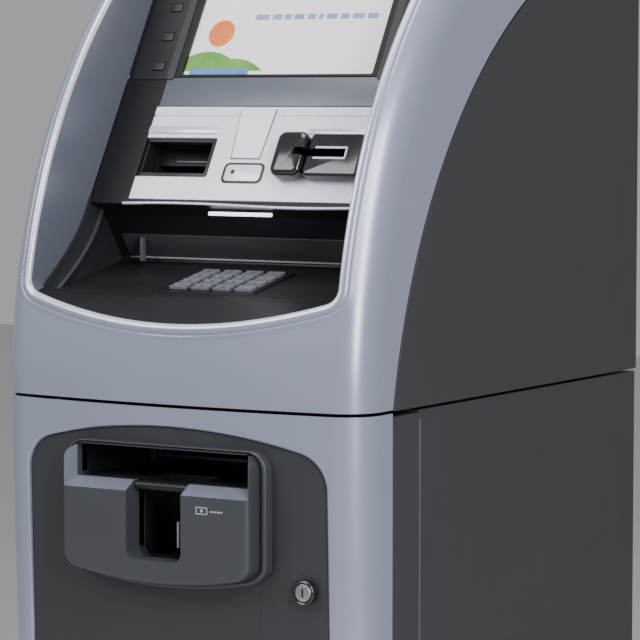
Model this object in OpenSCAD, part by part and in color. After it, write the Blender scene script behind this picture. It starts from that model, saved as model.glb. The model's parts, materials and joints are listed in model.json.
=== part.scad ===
// Slim free-standing cash machine: a steel safe with a hinged decor door, and
// a head whose one-piece hood tips up with the screen, printer, card reader and
// PIN pad on it. Millimetres. X to the right as the user sees it, -Y to the
// user, +Z up. The origin is on the floor, at the middle of the safe's base.

/* [Cabinet] */
// Overall width
cabinet_w = 412; // [400:4:496]
// Depth from the fascia's foremost line to the rear
cabinet_d = 578; // [560:10:690]
// Overall height
cabinet_h = 1388; // [1380:5:1665]
// Height of the seam between the safe and the head
seam_z = 845; // [800:5:860]
// Height of the open joint at the seam
seam_gap = 3; // [2:0.5:5]
// How far the fascia bulges forward in plan
bulge = 16; // [8:1:24]
// Radius of the fascia's upright corners
corner_r = 32; // [20:1:44]
// Width of the side flange that the silver fascia wraps onto
flange_d = 68; // [60:1:84]

/* [Safe] */
// Thickness of the safe's steel walls
safe_wall = 8; // [5:0.5:12]
// Thickness of the safe's base plate
base_t = 10; // [8:1:16]
// Y of the safe's front edge
safe_front_y = -170; // [-176:1:-160]
// Thickness of the safe door's plate
safe_door_t = 10; // [6:1:14]
// Width of the jamb that the safe door closes into
jamb_w = 7; // [5:1:12]
// Running gap round the safe door
door_gap = 1.5; // [1:0.25:3]
// Radius of the four anchor holes in the base
anchor_r = 9; // [6:0.5:11]
// Anchor hole spacing across the base
anchor_x = 260; // [200:10:300]
// Anchor hole spacing front to back
anchor_y = 300; // [200:10:320]
// Radius of the combination dial
dial_r = 37; // [25:1:45]
// Radius of a locking bolt
bolt_r = 6; // [4:0.5:8]
// Throw of the locking bolts
bolt_throw = 10; // [6:1:12]

/* [Cash path] */
// Width of the mouth that notes come out of
mouth_w = 194; // [170:2:200]
// Height of the mouth
mouth_h = 31; // [24:1:36]
// Height of the mouth's middle above the floor
mouth_z = 790; // [760:1:796]
// How far the shroud reaches past each side of the mouth
shroud_side = 16; // [10:1:28]
// Height of the shroud
shroud_h = 134; // [120:2:150]
// How far the shroud stands out from the fascia's foremost line
shroud_out = 21; // [12:1:30]
// Width of the finger notch
notch_w = 62; // [40:2:80]
// Depth of the finger notch below the mouth's middle
notch_drop = 88; // [70:2:96]
// Width of the cash cassette
cassette_w = 160; // [140:2:166]
// Height of the cash cassette
cassette_h = 140; // [110:2:160]
// Length of the cash cassette
cassette_l = 340; // [280:5:350]

/* [Head] */
// Thickness of the hood's moulding
hood_t = 4; // [3:0.5:6]
// How far behind the fascia's front the hood's curve meets the flat top
brow_run = 369; // [300:5:400]
// Radius of the side panels' curved front edge
side_r = 554.5; // [540:5:700]
// Drop from the top of the head to the side panels' highest point
side_drop = 81; // [70:1:100]
// Joint between the hood and the side panels
shut_gap = 2.5; // [2:0.5:5]
// Thickness of a side panel
side_t = 3; // [2:0.5:4]
// Width of the hood's frame on each side of the recess
rim_w = 31; // [26:1:38]
// Height of the recess's lower lip above the seam
lip_h = 77; // [60:1:90]
// Height of the recess's upper edge below the top
brow_drop = 63; // [50:1:80]
// Radius of the hood's hinge pins
hood_pin_r = 4; // [3:0.5:6]

/* [Control panel] */
// Lean of the control panel from upright, in degrees
panel_lean = 29.16; // [24:0.5:32]
// Distance from the fascia's front to the panel, measured at the seam
panel_foot = 16.6; // [10:1:24]
// Height of the screen's lower edge above the seam
screen_foot = 309.5; // [300:1:330]
// Width of the screen
screen_w = 222; // [210:1:226]
// Height of the screen
screen_h = 133; // [125:1:140]
// Thickness of the panel's plates
plate_t = 4; // [3:0.5:5]
// Width of a function key
fkey_w = 14; // [10:0.5:18]
// Height of a function key
fkey_h = 9; // [7:0.5:12]
// Distance from the panel's middle to the function keys
fkey_x = 141; // [136:1:150]
// Pitch of the function keys
fkey_pitch = 34; // [28:1:36]
// Width of the silver band that holds the printer and reader mouths
band_w = 266; // [260:2:280]
// Height of the receipt mouth
receipt_h = 43; // [36:1:50]
// Width of the receipt mouth
receipt_w = 82; // [78:1:84]
// Width of the card reader's bezel
reader_w = 92; // [80:1:96]
// Width of the card slot
card_w = 56; // [55:0.5:58]
// Radius of a full paper roll
roll_r = 38; // [30:1:42]

/* [PIN pad] */
// Slope of the PIN pad, in degrees
pad_lean = 12; // [8:1:22]
// Pitch of the keys across the pad
key_pitch_x = 25; // [22:0.5:26]
// Pitch of the keys up the pad
key_pitch_y = 17; // [15:0.5:18]
// Width of a key
key_w = 19; // [16:0.5:20]
// Depth of a key
key_d = 12.5; // [11:0.5:13.5]
// Height of a key above the pad
key_rise = 3; // [2:0.5:4]
// Travel of a key
key_travel = 2; // [1:0.25:3]
// Running gap round every key
key_gap = 0.4; // [0.3:0.1:0.8]

/* [Hidden] */
KEYS = ["key_1", "key_2", "key_3", "key_cancel",
        "key_4", "key_5", "key_6", "key_clear",
        "key_7", "key_8", "key_9", "key_enter",
        "key_star", "key_0", "key_hash", "key_blank"];
FKEYS = ["fkey_left_1", "fkey_left_2", "fkey_left_3", "fkey_left_4",
         "fkey_right_1", "fkey_right_2", "fkey_right_3", "fkey_right_4"];
$fn = 48;
eps = 0.5;                       // overrun of a cut past a face

front_y = -cabinet_d / 2;
rear_y = cabinet_d / 2;
half_w = cabinet_w / 2;

// Dispenser inside the safe
bay_half = cassette_w / 2 + 2;
bay_wall = 3;
bay_low = 380;
cassette_low = bay_low + bay_wall + 1;
cassette_high = cassette_low + cassette_h;
unit_y = safe_front_y + 44;
unit_high = 806;

// Safe
safe_half = half_w - 2;
safe_top = seam_z - seam_gap;
cavity_half = safe_half - safe_wall;
jamb_half = cavity_half - jamb_w;
jamb_t = safe_wall;
jamb_low = base_t + 8;
jamb_high = safe_top - base_t - 6;
safe_door_y = safe_front_y + 2;
safe_door_half = jamb_half - door_gap;
safe_hinge_x = -jamb_half - 1;
knuckle_r = 5;
safe_hinge_y = safe_front_y - knuckle_r - 1;
hinge_pin_r = 2.5;
hinge_run = 0.05;                // running clearance of a pin in its bore
knuckle_l = 40;
hinge_heights = [jamb_low + 90, (jamb_low + jamb_high) / 2, jamb_high - 170];
bolt_y = safe_door_y + safe_door_t + bolt_r + 3;
bolt_heights = [jamb_low + 130, (jamb_low + jamb_high) / 2, jamb_high - 210];
bolt_reach = safe_door_half - 5.5;
cable_r = 25;                    // hole for cables, through the safe's top and the head's base
cable_x = bay_half + bay_wall + cable_r + 20;
cable_y = rear_y - 230;
handle_x = 70;
handle_w = 22;
handle_l = 110;
handle_z = (jamb_low + jamb_high) / 2 - 40;
dial_z = handle_z + 110;
dial_x = 20;
shaft_r = 7;

// Decor door
door_low = 4;
door_high = safe_top - 2;
door_rear_y = safe_front_y - 2;
flange_y = front_y + flange_d;
door_axis_r = 4;
door_axis_x = -half_w + door_axis_r;
door_axis_y = door_rear_y - door_axis_r;
door_pin_r = 2;
bracket_room = 14;               // height of the notch for a hinge bracket
bracket_t = 5;
bracket_l = 10;
skin = 4;
insert_half = half_w - 37;
insert_low = 60;
insert_high = safe_top - 17;
insert_sink = 4;
arch_drop = 24;                  // the insert's crown above its shoulders
insert_r = 35;

// Cash path
mouth_low = mouth_z - mouth_h / 2;
mouth_high = mouth_z + mouth_h / 2;
shroud_w = mouth_w + 2 * shroud_side;
shroud_high = mouth_high + 3;
shroud_low = shroud_high - shroud_h;
shroud_y = front_y - shroud_out;
shroud_back_y = front_y + 6;
notch_half = notch_w / 2;
notch_low = mouth_z - notch_drop;
chute_wall = 2;
chute_half = mouth_w / 2 + chute_wall;
chute_rear_y = door_rear_y - 4;
cup_d = 42;
throat_half = mouth_w / 2 - 8;
throat_h = 20;
throat_y = safe_front_y - 2;
slot_room = 7;                   // room round the throat in the safe door

// Lock of the decor door
lock_x = 147;
lock_z = 681;
lock_r = 12;
plug_r = 8.5;
cam_l = 34;
cam_y = -245;
striker_x = half_w - 14;
striker_t = 2.5;
striker_return = striker_x - (lock_x + cam_l) + 5;

// Head
arc_z = seam_z + 13;             // where the hood's upright front starts to lean
arc_rise = cabinet_h - arc_z;
arc_r = (brow_run * brow_run + arc_rise * arc_rise) / (2 * brow_run);
arc_y = front_y + arc_r;
hood_low = seam_z + 1.5;
base_z = seam_z + 4;             // top of the head's base plate
side_chord = [cabinet_d - flange_d - 3, cabinet_h - side_drop - seam_z];
side_half_chord = norm(side_chord) / 2;
side_lift = sqrt(side_r * side_r - side_half_chord * side_half_chord);
side_dir = side_chord / norm(side_chord);
side_mid = [flange_y + 3, seam_z] + side_chord / 2;
side_centre = side_mid + side_lift * [side_dir[1], -side_dir[0]];
cheek_half = half_w - rim_w;
lip_z = seam_z + lip_h;
brow_z = cabinet_h - brow_drop;
hinge_y = rear_y - 13;
hinge_z = cabinet_h - 14;
lug_r = 9;
lug_x = half_w - 50;
lug_w = 6;
rear_high = cabinet_h - 38;
return_w = 14;                   // return of a side panel, which screws to the base
return_t = 2;

// Electronics in the head
box_wall = 1.5;                  // sheet of the electronics boxes
vent_w = 6;                      // louvres of the rear panel
vent_l = 90;
vent_pitch = 14;
vent_x = 75;
vent_low = seam_z + 230;
board_x = [-160, 40];            // the mainboard's box, on stand-offs
board_y = [rear_y - 170, rear_y - 20];
board_z = [base_z + 2.5, base_z + 200];
board_slot_w = 8;
board_slot_pitch = 20;
supply_x = [60, 180];            // the power supply's box
supply_y = [rear_y - side_t - 150, rear_y - side_t - 30];
supply_h = 85;
inlet_x = 105;                   // where the mains inlet and its switch come through
inlet_z = seam_z + 45;
inlet_w = 24;
inlet_h = 16;
rocker_x = 150;
rocker_w = 18;
rocker_r = 11;
rocker_tip = 7;                  // how far it tips each way, in degrees

// Control panel, measured up the slope (s) from the screen's lower edge
panel_z = seam_z + screen_foot;
panel_y = front_y + panel_foot + tan(panel_lean) * screen_foot;
panel_half = cheek_half - 1.5;
panel_high = min(172, (brow_z - panel_z) / cos(panel_lean) - 6);
panel_low = -146;
strip_half = 126;
strip_high = -3;
strip_low = -35;
band_high = -37;
band_low = -140;
mouth_s = -93.5;                 // middle line of the receipt and card mouths
receipt_x = -84;
reader_x = 85;
card_slot_h = 8;
printer_rear = -76;              // back of the printer, off the panel
roll_h = printer_rear - roll_r - 4;
spindle_r = 6;
glass_t = 3;
module_t = 34;
fkey_first = 9;
fkey_rise = 1.5;
fkey_travel = 1;
fkey_deep = 5;

// Recess with the PIN pad
shelf_rear = [-115, lip_z + 46] + [front_y + 289, 0];
shelf_front = [-234, lip_z + 22] + [front_y + 289, 0];
lip_point = [arc_y - sqrt(pow(arc_r - hood_t, 2) - pow(lip_z - arc_z, 2)) + 1, lip_z - 1];
tray_t = 3;
tray_half = panel_half;
panel_toe = [panel_y + sin(panel_lean) * panel_low, panel_z + cos(panel_lean) * panel_low];
ceiling_rear = panel_toe + [20, -6];
panel_back = [cos(panel_lean), -sin(panel_lean)];
toe_back = panel_toe + (plate_t + 0.3) * panel_back;
toe_flange = toe_back + 8 * [sin(panel_lean), cos(panel_lean)];
pad_half = 1.5 * key_pitch_x + key_w / 2 + 7;
pad_front = 8;
pad_y = front_y + 74;
pad_z = lip_z + 27;
pad_t = 14;
pad_len = 3 * key_pitch_y + key_d + 2 * pad_front;
key_deep = 3;

function arc_points(c, r, a0, a1, n) =
    [for (i = [0:n]) let (a = a0 + (a1 - a0) * i / n) c + r * [cos(a), sin(a)]];
function backwards(v) = [for (i = [len(v) - 1:-1:0]) v[i]];
// Plan of the fascia: a bowed front, round corners and straight sides
function bow_y(x) = front_y + bulge * pow(x / half_w, 2);
function plan(inset, back) =
    let (h = half_w - inset, r = corner_r - inset, c = h - r,
         y0 = bow_y(c + inset) + inset,
         n = 12)
    concat([[h, back]],
           arc_points([c, y0 + r], r, 0, -80, 8),
           [for (i = [n - 1:-1:1 - n]) [c * i / n, bow_y(c * i / n) + inset]],
           arc_points([-c, y0 + r], r, -100, -180, 8),
           [[-h, back]]);
// Side outline of the hood: upright, a long arc back to the flat top
function hood_outline(inset, back, low) =
    let (r = arc_r - inset, top = cabinet_h - inset, a = asin((top - arc_z) / r))
    concat([[back, low], [front_y + inset, low]],
           [for (i = [0:28]) [arc_y - r * cos(a * i / 28), arc_z + r * sin(a * i / 28)]],
           [[back, top]]);

// A prism along X from a (y, z) outline, from x0 to x1
module prism(points, x0, x1) {
    translate([x0, 0, 0]) rotate([90, 0, 90]) linear_extrude(x1 - x0) polygon(points);
}
// A prism along Y from an (x, z) outline, from y0 to y1
module plate(y0, y1) {
    translate([0, y1, 0]) rotate([90, 0, 0]) linear_extrude(y1 - y0) children();
}
module block(x0, x1, y0, y1, z0, z1) {
    translate([x0, y0, z0]) cube([x1 - x0, y1 - y0, z1 - z0]);
}
module rod_x(r, x0, x1) {
    translate([x0, 0, 0]) rotate([0, 90, 0]) cylinder(r = r, h = x1 - x0);
}
module rod_y(r, y0, y1) {
    translate([0, y1, 0]) rotate([90, 0, 0]) cylinder(r = r, h = y1 - y0);
}
module both_sides() {
    children();
    mirror([1, 0, 0]) children();
}
// Puts X, s (up the slope) and height off the panel along x, y and z
module on_panel() {
    translate([0, panel_y, panel_z]) rotate([90 - panel_lean, 0, 0]) children();
}
module on_pad() {
    translate([0, pad_y, pad_z]) rotate([pad_lean, 0, 0]) children();
}
// A flat outline with round corners
module round_rect(x0, x1, y0, y1, r) {
    for (x = [x0 + r, x1 - r], y = [y0 + r, y1 - r]) translate([x, y]) circle(r);
    translate([x0 + r, y0]) square([x1 - x0 - 2 * r, y1 - y0]);
    translate([x0, y0 + r]) square([x1 - x0, y1 - y0 - 2 * r]);
}

// ---- Safe ----
module safe_body() {
    color("dimgray") {
        difference() {
            block(-safe_half, safe_half, safe_front_y, rear_y, 0, safe_top);
            block(-cavity_half, cavity_half, safe_front_y + jamb_t, rear_y - safe_wall,
                  base_t, safe_top - base_t);
            block(-jamb_half, jamb_half, safe_front_y - eps, safe_front_y + jamb_t + eps,
                  jamb_low, jamb_high);
            for (x = [-1, 1], y = [-1, 1])
                translate([x * anchor_x / 2, y * anchor_y / 2, -eps])
                    cylinder(r = anchor_r, h = base_t + 2 * eps);
            translate([cable_x, cable_y, safe_top - base_t - eps])
                cylinder(r = cable_r, h = base_t + 2 * eps);
        }
        // Plinth that carries the head
        difference() {
            block(-safe_half + 20, safe_half - 20, safe_front_y + 20, rear_y - 20,
                  safe_top, seam_z);
            translate([cable_x, cable_y, safe_top - eps])
                cylinder(r = cable_r, h = seam_gap + 2 * eps);
        }
        // Striker that the decor door's cam turns behind
        block(striker_x - striker_t, striker_x, cam_y - 5, safe_front_y, lock_z - 16, lock_z + 16);
        block(striker_x - striker_return, striker_x, cam_y - 5, cam_y - 2, lock_z - 16, lock_z + 16);
    }
}

module hinge_brackets() {
    color("silver") {
        // Pins of the decor door, in brackets at its top and bottom
        for (z = [door_high - bracket_room / 2 - bracket_t / 2,
                  door_low + bracket_room / 2 - bracket_t / 2])
            block(door_axis_x - 2, door_axis_x + 7, door_axis_y - 4, safe_front_y, z, z + bracket_t);
        for (z = [door_high - bracket_room - bracket_l, door_low + bracket_room / 2])
            translate([door_axis_x, door_axis_y, z])
                cylinder(r = door_pin_r, h = bracket_l + bracket_room / 2);
        // Knuckles and pins of the safe door
        for (z = hinge_heights) {
            for (up = [0, 2 * knuckle_l + 1]) {
                translate([safe_hinge_x, safe_hinge_y, z + up]) cylinder(r = knuckle_r, h = knuckle_l - 0.5);
                block(safe_hinge_x - 3, safe_hinge_x, safe_hinge_y - 1, safe_front_y,
                      z + up, z + up + knuckle_l - 0.5);
            }
            translate([safe_hinge_x, safe_hinge_y, z + 1]) cylinder(r = hinge_pin_r, h = 3 * knuckle_l - 2);
        }
    }
}

module safe_door() {
    y0 = safe_door_y;
    y1 = y0 + safe_door_t;
    color("slategray") difference() {
        union() {
            block(-safe_door_half, safe_door_half, y0, y1, jamb_low + door_gap, jamb_high - door_gap);
            for (z = hinge_heights) {
                translate([safe_hinge_x, safe_hinge_y, z + knuckle_l]) cylinder(r = knuckle_r, h = knuckle_l);
                block(safe_hinge_x, safe_hinge_x + 18, safe_hinge_y - 2, safe_hinge_y + 2,
                      z + knuckle_l, z + 2 * knuckle_l);
                block(1 - safe_door_half, safe_hinge_x + 18, safe_hinge_y, y0 + 0.5,
                      z + knuckle_l, z + 2 * knuckle_l);
            }
            // Guides of the locking bolts
            for (z = bolt_heights)
                block(bolt_reach - 60, bolt_reach - 20, y1 - 1, bolt_y + bolt_r + 3,
                      z - bolt_r - 4, z + bolt_r + 4);
            // Lock case
            block(dial_x - 30, dial_x + 30, y1 - 1, y1 + 24, dial_z - 40, dial_z + 40);
        }
        for (z = hinge_heights)
            translate([safe_hinge_x, safe_hinge_y, z + knuckle_l - eps])
                cylinder(r = hinge_pin_r + hinge_run, h = knuckle_l + 2 * eps);
        for (z = bolt_heights)
            translate([0, bolt_y, z]) rod_x(bolt_r + 0.4, bolt_reach - 70, bolt_reach);
        block(-throat_half - slot_room, throat_half + slot_room, y0 - eps, y1 + eps,
              mouth_z - throat_h / 2 - slot_room, mouth_z + throat_h / 2 + slot_room);
        translate([handle_x, 0, handle_z]) rod_y(shaft_r + hinge_run, y0 - eps, y1 + eps);
        translate([dial_x, 0, dial_z]) rod_y(shaft_r + hinge_run, y0 - eps, y1 + 16);
    }
}

module safe_dial() {
    color("black") translate([dial_x, 0, dial_z]) {
        rod_y(shaft_r, safe_door_y - 2, safe_door_y + safe_door_t + 14);
        rod_y(dial_r, safe_door_y - 12, safe_door_y - 1);
        difference() {
            rod_y(dial_r * 0.6, safe_door_y - 30, safe_door_y - 11);
            for (a = [0:30:330]) rotate([0, a, 0])
                translate([dial_r * 0.6, 0, 0]) rod_y(2, safe_door_y - 32, safe_door_y - 14);
        }
    }
}

module safe_handle() {
    y = safe_door_y;
    color("silver") translate([handle_x, 0, handle_z]) {
        rod_y(shaft_r, y - 24, y + safe_door_t + 3);
        rod_y(14, y - 8, y - 1);
        plate(y - 30, y - 18) difference() {
            round_rect(-handle_w / 2, handle_w / 2, -handle_l, handle_w / 2, handle_w / 2);
            translate([0, 14 - handle_l]) circle(4);
        }
        // Crank that throws the bolts
        rod_y(12, y + safe_door_t + 1, y + safe_door_t + 4);
    }
}

module locking_bolts() {
    y = bolt_y + bolt_r + 4;
    color("silver") {
        for (z = bolt_heights)
            translate([0, bolt_y, z]) rod_x(bolt_r, bolt_reach - 80, bolt_reach);
        block(bolt_reach - 86, bolt_reach - 72, bolt_y - bolt_r, y - 2, bolt_heights[0] - 12,
              bolt_heights[2] + 12);
    }
}

module dispenser_unit() {
    y1 = unit_y + cassette_l + 20;
    color("darkgray") difference() {
        union() {
            both_sides() block(bay_half, bay_half + bay_wall, unit_y, y1, base_t, unit_high);
            block(-bay_half - 1, bay_half + 1, unit_y, y1, bay_low, bay_low + bay_wall);
            difference() {
                block(-bay_half - 1, bay_half + 1, unit_y, y1, cassette_high + 12, unit_high);
                block(-bay_half, bay_half, unit_y + bay_wall, y1 - bay_wall,
                      cassette_high + 12 + bay_wall, unit_high - bay_wall);
            }
            block(-throat_half, throat_half, throat_y, unit_y + 1,
                  mouth_z - throat_h / 2, mouth_z + throat_h / 2);
        }
        block(-throat_half + bay_wall, throat_half - bay_wall, throat_y - eps, unit_y + 60,
              mouth_z - throat_h / 2 + bay_wall, mouth_z + throat_h / 2 - bay_wall);
    }
}

module cash_cassette() {
    color("gray") difference() {
        block(-cassette_w / 2, cassette_w / 2, unit_y - 6, unit_y - 6 + cassette_l,
              cassette_low, cassette_high);
        // Note bay behind the hand hold
        block(-cassette_w / 2 + bay_wall, cassette_w / 2 - bay_wall, unit_y + 27,
              unit_y - 6 + cassette_l - bay_wall, cassette_low + bay_wall, cassette_high - bay_wall);
        // Hand hold in the front face
        block(-50, 50, unit_y - 6 - eps, unit_y + 24, cassette_low + 60, cassette_low + 100);
    }
}

// ---- Decor door ----
module door_axis_room() {
    for (z = [door_low - eps, door_high - bracket_room])
        translate([door_axis_x, door_axis_y, z]) cylinder(r = 12, h = bracket_room + eps);
}

module door_pan() {
    color("darkslategray") difference() {
        union() {
            difference() {
                block(-half_w, half_w, flange_y, door_rear_y, door_low, door_high);
                block(-half_w + skin, half_w - skin, flange_y - eps, door_rear_y + eps,
                      door_low + skin, door_high - skin);
                // The corner at the hinge is round, so that it clears the safe
                block(-half_w - eps, door_axis_x + 6, door_axis_y, door_rear_y + eps,
                      door_low - eps, door_high + eps);
            }
            translate([door_axis_x, door_axis_y, door_low]) cylinder(r = door_axis_r, h = door_high - door_low);
        }
        door_axis_room();
        translate([door_axis_x, door_axis_y, door_low])
            cylinder(r = door_pin_r + hinge_run, h = door_high - door_low);
    }
}

module insert_outline(grow) {
    h = insert_half + grow;
    top = insert_high + grow - arch_drop;
    r = (h * h + arch_drop * arch_drop) / (2 * arch_drop);
    intersection() {
        union() {
            round_rect(-h, h, insert_low - grow, top + insert_r, insert_r);
            translate([-h + 14, top]) square([2 * h - 28, arch_drop + eps]);
        }
        translate([0, top + arch_drop - r]) circle(r, $fn = 180);
    }
}

module door_fascia() {
    color("lightsteelblue") difference() {
        translate([0, 0, door_low]) linear_extrude(door_high - door_low) difference() {
            polygon(plan(0, flange_y));
            polygon(plan(skin, flange_y + eps));
        }
        plate(front_y - eps, flange_y - 20) insert_outline(0);
    }
}

module door_insert() {
    color("#38393d") difference() {
        intersection() {
            linear_extrude(door_high) difference() {
                polygon(plan(insert_sink, flange_y - 8));
                polygon(plan(insert_sink + 3, flange_y));
            }
            plate(front_y, flange_y - 20) insert_outline(-0.3);
        }
        block(-chute_half + chute_wall, chute_half - chute_wall, front_y, flange_y, mouth_low, mouth_high);
        block(-notch_half, notch_half, front_y, flange_y, notch_low, mouth_z);
        translate([lock_x, 0, lock_z]) rod_y(plug_r + 1.5, front_y, flange_y);
    }
}

module dispenser_shroud() {
    half = shroud_w / 2;
    sag = 14;
    r = (half * half + sag * sag) / (2 * sag);
    color("#3a3d40") difference() {
        plate(shroud_y, bow_y(half) + insert_sink) intersection() {
            round_rect(-half, half, shroud_low, shroud_high, 12);
            translate([0, shroud_low + r]) circle(r, $fn = 180);
        }
        // It sits on the bowed insert
        translate([0, 0, shroud_low - eps]) linear_extrude(shroud_h + 2 * eps)
            polygon(plan(insert_sink, flange_y));
        block(-mouth_w / 2, mouth_w / 2, shroud_y - eps, flange_y, mouth_low, mouth_high);
        block(-notch_half, notch_half, shroud_y - eps, flange_y, notch_low, mouth_z);
    }
}

module cash_chute() {
    y0 = bow_y(0) + insert_sink + 3.2 + bulge * pow(chute_half / half_w, 2);
    color("#222427") difference() {
        union() {
            block(-chute_half, chute_half, y0, chute_rear_y, mouth_low - chute_wall, mouth_high + chute_wall);
            block(-notch_half - chute_wall, notch_half + chute_wall, y0, y0 + cup_d,
                  notch_low - chute_wall, mouth_low);
        }
        block(-chute_half + chute_wall, chute_half - chute_wall, y0 - eps, chute_rear_y + eps,
              mouth_low, mouth_high);
        block(-notch_half, notch_half, y0 - eps, y0 + cup_d - chute_wall, notch_low, mouth_low + eps);
    }
}

module lock_bezel() {
    y = bow_y(lock_x - lock_r) + insert_sink;
    color("black") translate([lock_x, 0, lock_z]) difference() {
        union() {
            rod_y(lock_r, y - 5, y);
            rod_y(plug_r + 1.3, y - 1, y + 18);
        }
        rod_y(plug_r - 1.5, y - 6, y + 19);
    }
}

module lock_plug() {
    y = bow_y(lock_x - lock_r) + insert_sink;
    color("silver") translate([lock_x, 0, lock_z]) {
        difference() {
            union() {
                rod_y(plug_r - 1.55, y - 5.5, y + 19.5);
                rod_y(5, y + 19, cam_y + 1);
            }
            block(-1, 1, y - 6, y + 8, -4.5, 4.5);
        }
        plate(cam_y, cam_y + 3) round_rect(-7, 7, -cam_l, 7, 7);
    }
}

// ---- Head ----
module head_base() {
    color("dimgray") difference() {
        block(-half_w + side_t, half_w - side_t, flange_y + 8, rear_y - side_t, seam_z, base_z);
        translate([cable_x, cable_y, seam_z - eps])
            cylinder(r = cable_r, h = base_z - seam_z + 2 * eps);
    }
}

module side_panel() {
    // The panel's outline is the part of a disc behind and above the seam's front end
    a0 = asin((seam_z - side_centre[1]) / side_r);
    a1 = acos((side_centre[0] - rear_y) / side_r);
    points = concat([for (i = [0:28]) let (a = a0 + (a1 - a0) * i / 28)
                         side_centre + side_r * [-cos(a), sin(a)]],
                    [[rear_y, seam_z]]);
    prism(points, half_w - side_t, half_w);
    // Return that screws to the base
    block(half_w - side_t - return_w, half_w - side_t + eps, flange_y + 20, rear_y - 20,
          base_z, base_z + return_t);
}

module side_panel_left() { color("#414244") mirror([1, 0, 0]) side_panel(); }
module side_panel_right() { color("#414244") side_panel(); }

module rear_panel() {
    side_top = side_centre[1] + sqrt(pow(side_r, 2) - pow(rear_y - side_centre[0], 2));
    color("#414244") difference() {
        union() {
            block(-half_w + side_t, half_w - side_t, rear_y - side_t, rear_y, seam_z, side_top - 12);
            block(-half_w + hood_t + 2, half_w - hood_t - 2, rear_y - side_t, rear_y,
                  side_top - 13, rear_high);
        }
        for (row = [0:9], x = [-1, 1])
            block(x * vent_x - vent_l / 2, x * vent_x + vent_l / 2, rear_y - side_t - eps, rear_y + eps,
                  vent_low + row * vent_pitch, vent_low + row * vent_pitch + vent_w);
        block(inlet_x - inlet_w / 2 - 3, inlet_x + inlet_w / 2 + 3, rear_y - side_t - eps, rear_y + eps,
              inlet_z - inlet_h / 2 - 4.5, inlet_z + inlet_h / 2 + 4.5);
        block(rocker_x - rocker_w / 2 - 1, rocker_x + rocker_w / 2 + 1, rear_y - side_t - eps, rear_y + eps,
              inlet_z - rocker_r - 1, inlet_z + rocker_r + 1);
    }
}

module mainboard_box() {
    color("silver") difference() {
        block(board_x[0], board_x[1], board_y[0], board_y[1], board_z[0], board_z[1]);
        block(board_x[0] + box_wall, board_x[1] - box_wall, board_y[0] + box_wall, board_y[1] - box_wall,
              board_z[0] + box_wall, board_z[1] - box_wall);
        for (i = [0:8]) let (x = board_x[0] + 10 + i * board_slot_pitch)
            block(x, x + board_slot_w, board_y[0] - 1, board_y[0] + 10, base_z + 40, base_z + 160);
    }
    color("silver") for (x = [board_x[0] + 20, board_x[1] - 20], y = [board_y[0] + 20, board_y[1] - 20])
        translate([x, y, base_z]) cylinder(r = 6, h = 3);
}

module power_supply() {
    y = rear_y - side_t;
    color("gray") {
        difference() {
            union() {
                difference() {
                    block(supply_x[0], supply_x[1], supply_y[0], supply_y[1], base_z, base_z + supply_h);
                    block(supply_x[0] + box_wall, supply_x[1] - box_wall, supply_y[0] + box_wall,
                          supply_y[1] - box_wall, base_z + box_wall, base_z + supply_h - box_wall);
                }
                block(inlet_x - inlet_w / 2 - 2.5, inlet_x + inlet_w / 2 + 2.5, supply_y[1] - 1, y + 2,
                      inlet_z - inlet_h / 2 - 4, inlet_z + inlet_h / 2 + 4);
            }
            // Recess of the mains inlet, with three blades left standing
            difference() {
                block(inlet_x - inlet_w / 2, inlet_x + inlet_w / 2, y - 14, y + 3,
                      inlet_z - inlet_h / 2, inlet_z + inlet_h / 2);
                for (p = [[-7, 0], [0, 2], [7, 0]])
                    block(inlet_x + p[0] - 1, inlet_x + p[0] + 1, y - 15, y - 3,
                          inlet_z + p[1] - 2, inlet_z + p[1] + 2);
            }
        }
    }
}

module rocker_switch() {
    // Two faces at a shallow angle, on a drum that turns in the panel's cut-out
    color("black") translate([0, rear_y - rocker_r, inlet_z]) difference() {
        rod_x(rocker_r, rocker_x - rocker_w / 2, rocker_x + rocker_w / 2);
        block(rocker_x - rocker_w, rocker_x + rocker_w, -rocker_r - 1, -2, -rocker_r - 1, rocker_r + 1);
        for (tip = [-rocker_tip, rocker_tip]) rotate([tip, 0, 0])
            block(rocker_x - rocker_w, rocker_x + rocker_w, rocker_r - 2, rocker_r + 1,
                  tip > 0 ? 0 : -rocker_r - 3, tip > 0 ? rocker_r + 3 : 0);
    }
}

module hood_hinge() {
    x0 = lug_x + lug_w + 1;
    color("silver") both_sides() {
        prism([[rear_y - side_t, rear_high - 70], [rear_y - side_t, rear_high - 2],
               [hinge_y + 7, hinge_z + 5], [hinge_y - 7, hinge_z + 5],
               [hinge_y - 9, rear_high - 40]], x0, x0 + 5);
        translate([0, hinge_y, hinge_z]) rod_x(hood_pin_r, lug_x - 2, x0 + 1);
    }
}

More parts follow.
